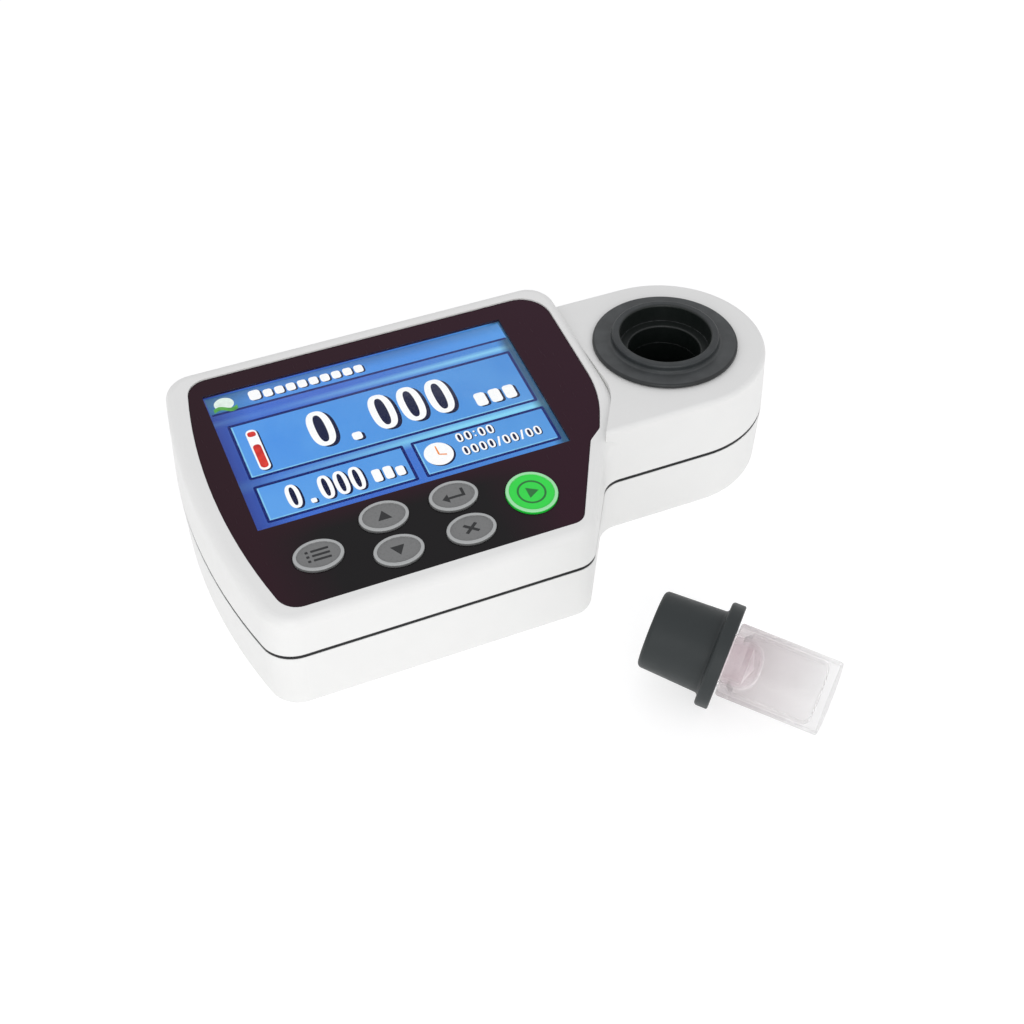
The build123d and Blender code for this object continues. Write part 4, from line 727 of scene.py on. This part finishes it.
wave.plate(wave_bottom + wave_top)
wave.finish()


# ---- Key marks ---------------------------------------------------------------------------------------
# Outlines are in millimetres from the middle of their key.

KEY_DISH_RISE = 0.6     # a key's dish above the face plane
MARK_LIFT = 0.002
MARK_THICK = 0.02
UP_ARROW = [(-2.1, -1.425), (2.1, -1.425), (0.0, 1.9)]
DOWN_ARROW = [(x, -y) for x, y in reversed(UP_ARROW)]
LIST_ROWS = (-1.6, 0.0, 1.6)
LIST_BARS = [rounded_box(*bar, 0.2, 3) for row in LIST_ROWS
             for bar in ((-3.0, row, 0.9, 0.8), (0.8, row, 5.2, 0.75))]
RETURN_ARROW = [(-3.6, -0.6), (-1.6, -2.2), (-1.6, -1.0), (3.4, -1.0), (3.4, 2.0), (2.5, 2.0), (2.5, -0.2),
                (-1.6, -0.2), (-1.6, 1.0)]
PLAY_TRIANGLE = [(-1.2, -2.0), (2.2, 0.0), (-1.2, 2.0)]
PLAY_RING = (ellipse(0, 0, 4.3, 4.3, 48), ellipse(0, 0, 3.7, 3.7, 48))
DARK_INK = key_print("key_ink", (0.012, 0.013, 0.014))
GREEN_INK = key_print("start_ink", (0.012, 0.16, 0.03))


def cross_outline(reach=2.1, half_line=0.42, stretch=1.25):
    """A diagonal cross, wider than it is high to suit an oval key."""
    outline = []
    for quarter in range(4):
        turn = math.pi / 4 + quarter * math.pi / 2
        for along, side in ((half_line, -half_line), (reach, -half_line), (reach, half_line)):
            outline.append((stretch * (along * math.cos(turn) - side * math.sin(turn)),
                            along * math.sin(turn) + side * math.cos(turn)))
    return outline


def key_mark(key, plates, ring=None, ink=DARK_INK, slot="key_grey"):
    """Prints plates, and a ring where there is one, in the dish of a key."""
    middle = face_place(key)
    mark = Relief(key + "_mark", ink, KEY_DISH_RISE + MARK_LIFT, MARK_THICK, key + "_body", slot)
    if ring:
        mark.hoop(*[shifted(outline, *middle) for outline in ring])
    for outline in plates:
        mark.plate(shifted(outline, *middle))
    mark.finish()


key_mark("key_up", [UP_ARROW])
key_mark("key_down", [DOWN_ARROW])
key_mark("key_set", LIST_BARS)
key_mark("key_enter", [RETURN_ARROW])
key_mark("key_cancel", [cross_outline()])
key_mark("key_start", [PLAY_TRIANGLE], PLAY_RING, GREEN_INK, "key_green")


# ---- Floor, light and camera -------------------------------------------------------------------------

FLOOR_HALF_SIZE = 4.0
FLOOR_DROP = 0.0001
FLOOR_GLOW = 1.3
FLOOR_GLOW_SHARE = 0.5
WORLD_STRENGTH = 0.88
HORIZON_HEIGHT, HORIZON_COLOUR = 0.1, (0.80, 0.80, 0.80, 1)
OVERHEAD_HEIGHT, OVERHEAD_COLOUR = 0.95, (0.92, 0.92, 0.94, 1)
OBJECT_MIDDLE = (-0.08, -0.02, 0.02)
CAMERA_PLACE = (-0.2032, -0.3498, 0.3552)
CAMERA_AZIMUTH = math.radians(-23.36)
CAMERA_ELEVATION = math.radians(43.95)
CAMERA_SENSOR, CAMERA_LENS = 36.0, 56.86


def make_floor():
    """A level pale sheet a little below the object, which glows slightly so that it stays even."""
    data = bpy.data.meshes.new("floor")
    mesh = bmesh.new()
    bmesh.ops.create_grid(mesh, x_segments=2, y_segments=2, size=FLOOR_HALF_SIZE)
    mesh.to_mesh(data)
    mesh.free()
    s = Shader("floor_paper")
    fibre = s.noise(1.5, 3.0)
    tone = s.mix(s.remap(fibre, 0.3, 0.7), (0.93, 0.93, 0.93), (0.95, 0.95, 0.95))
    matt = s.node("ShaderNodeBsdfDiffuse", {"Color": tone, "Normal": s.bump(fibre, 0.004)}).outputs[0]
    lit = s.node("ShaderNodeEmission", {"Color": (1, 1, 1, 1), "Strength": FLOOR_GLOW}).outputs[0]
    paper = s.mix_surfaces(FLOOR_GLOW_SHARE, matt, lit)
    # clear from below, so that the underside can be looked at
    from_below = s.node("ShaderNodeNewGeometry", {}).outputs["Backfacing"]
    data.materials.append(s.shader(s.mix_surfaces(from_below, paper, s.see_through((1, 1, 1)))))
    floor = bpy.data.objects.new("floor", data)
    floor.location.z = -FLOOR_DROP
    bpy.context.scene.collection.objects.link(floor)


def make_world():
    """Even studio light, a little weaker near the horizon than overhead."""
    world = bpy.data.worlds.new("studio")
    bpy.context.scene.world = world
    world.use_nodes = True
    tree = world.node_tree
    tree.nodes.clear()
    direction = tree.nodes.new("ShaderNodeTexCoord")
    parts = tree.nodes.new("ShaderNodeSeparateXYZ")
    ramp = tree.nodes.new("ShaderNodeValToRGB")
    background = tree.nodes.new("ShaderNodeBackground")
    output = tree.nodes.new("ShaderNodeOutputWorld")
    tree.links.new(direction.outputs["Generated"], parts.inputs[0])
    tree.links.new(parts.outputs["Z"], ramp.inputs[0])
    tree.links.new(ramp.outputs[0], background.inputs["Color"])
    tree.links.new(background.outputs[0], output.inputs["Surface"])
    low, high = ramp.color_ramp.elements
    low.position, low.color = HORIZON_HEIGHT, HORIZON_COLOUR
    high.position, high.color = OVERHEAD_HEIGHT, OVERHEAD_COLOUR
    background.inputs["Strength"].default_value = WORLD_STRENGTH


def area_light(name, place, size, power):
    """A square light that faces the object."""
    light = bpy.data.lights.new(name, "AREA")
    light.shape = "SQUARE"
    light.size = size
    light.energy = power
    piece = bpy.data.objects.new(name, light)
    piece.location = place
    piece.rotation_euler = (Vector(OBJECT_MIDDLE) - Vector(place)).to_track_quat("-Z", "Y").to_euler()
    bpy.context.scene.collection.objects.link(piece)


def make_camera():
    """Stands at the front left and looks down at the display."""
    data = bpy.data.cameras.new("camera")
    data.sensor_width = CAMERA_SENSOR
    data.lens = CAMERA_LENS
    data.clip_start = 0.01
    camera = bpy.data.objects.new("camera", data)
    camera.location = CAMERA_PLACE
    camera.rotation_euler = (math.pi / 2 - CAMERA_ELEVATION, 0, CAMERA_AZIMUTH)
    bpy.context.scene.collection.objects.link(camera)
    bpy.context.scene.camera = camera


make_floor()
make_world()
area_light("front_softbox", (-0.35, -0.95, 0.45), size=0.7, power=3.0)
area_light("left_softbox", (-0.95, 0.1, 0.6), size=0.6, power=0.3)
make_camera()
bpy.context.scene.view_settings.view_transform = "Standard"
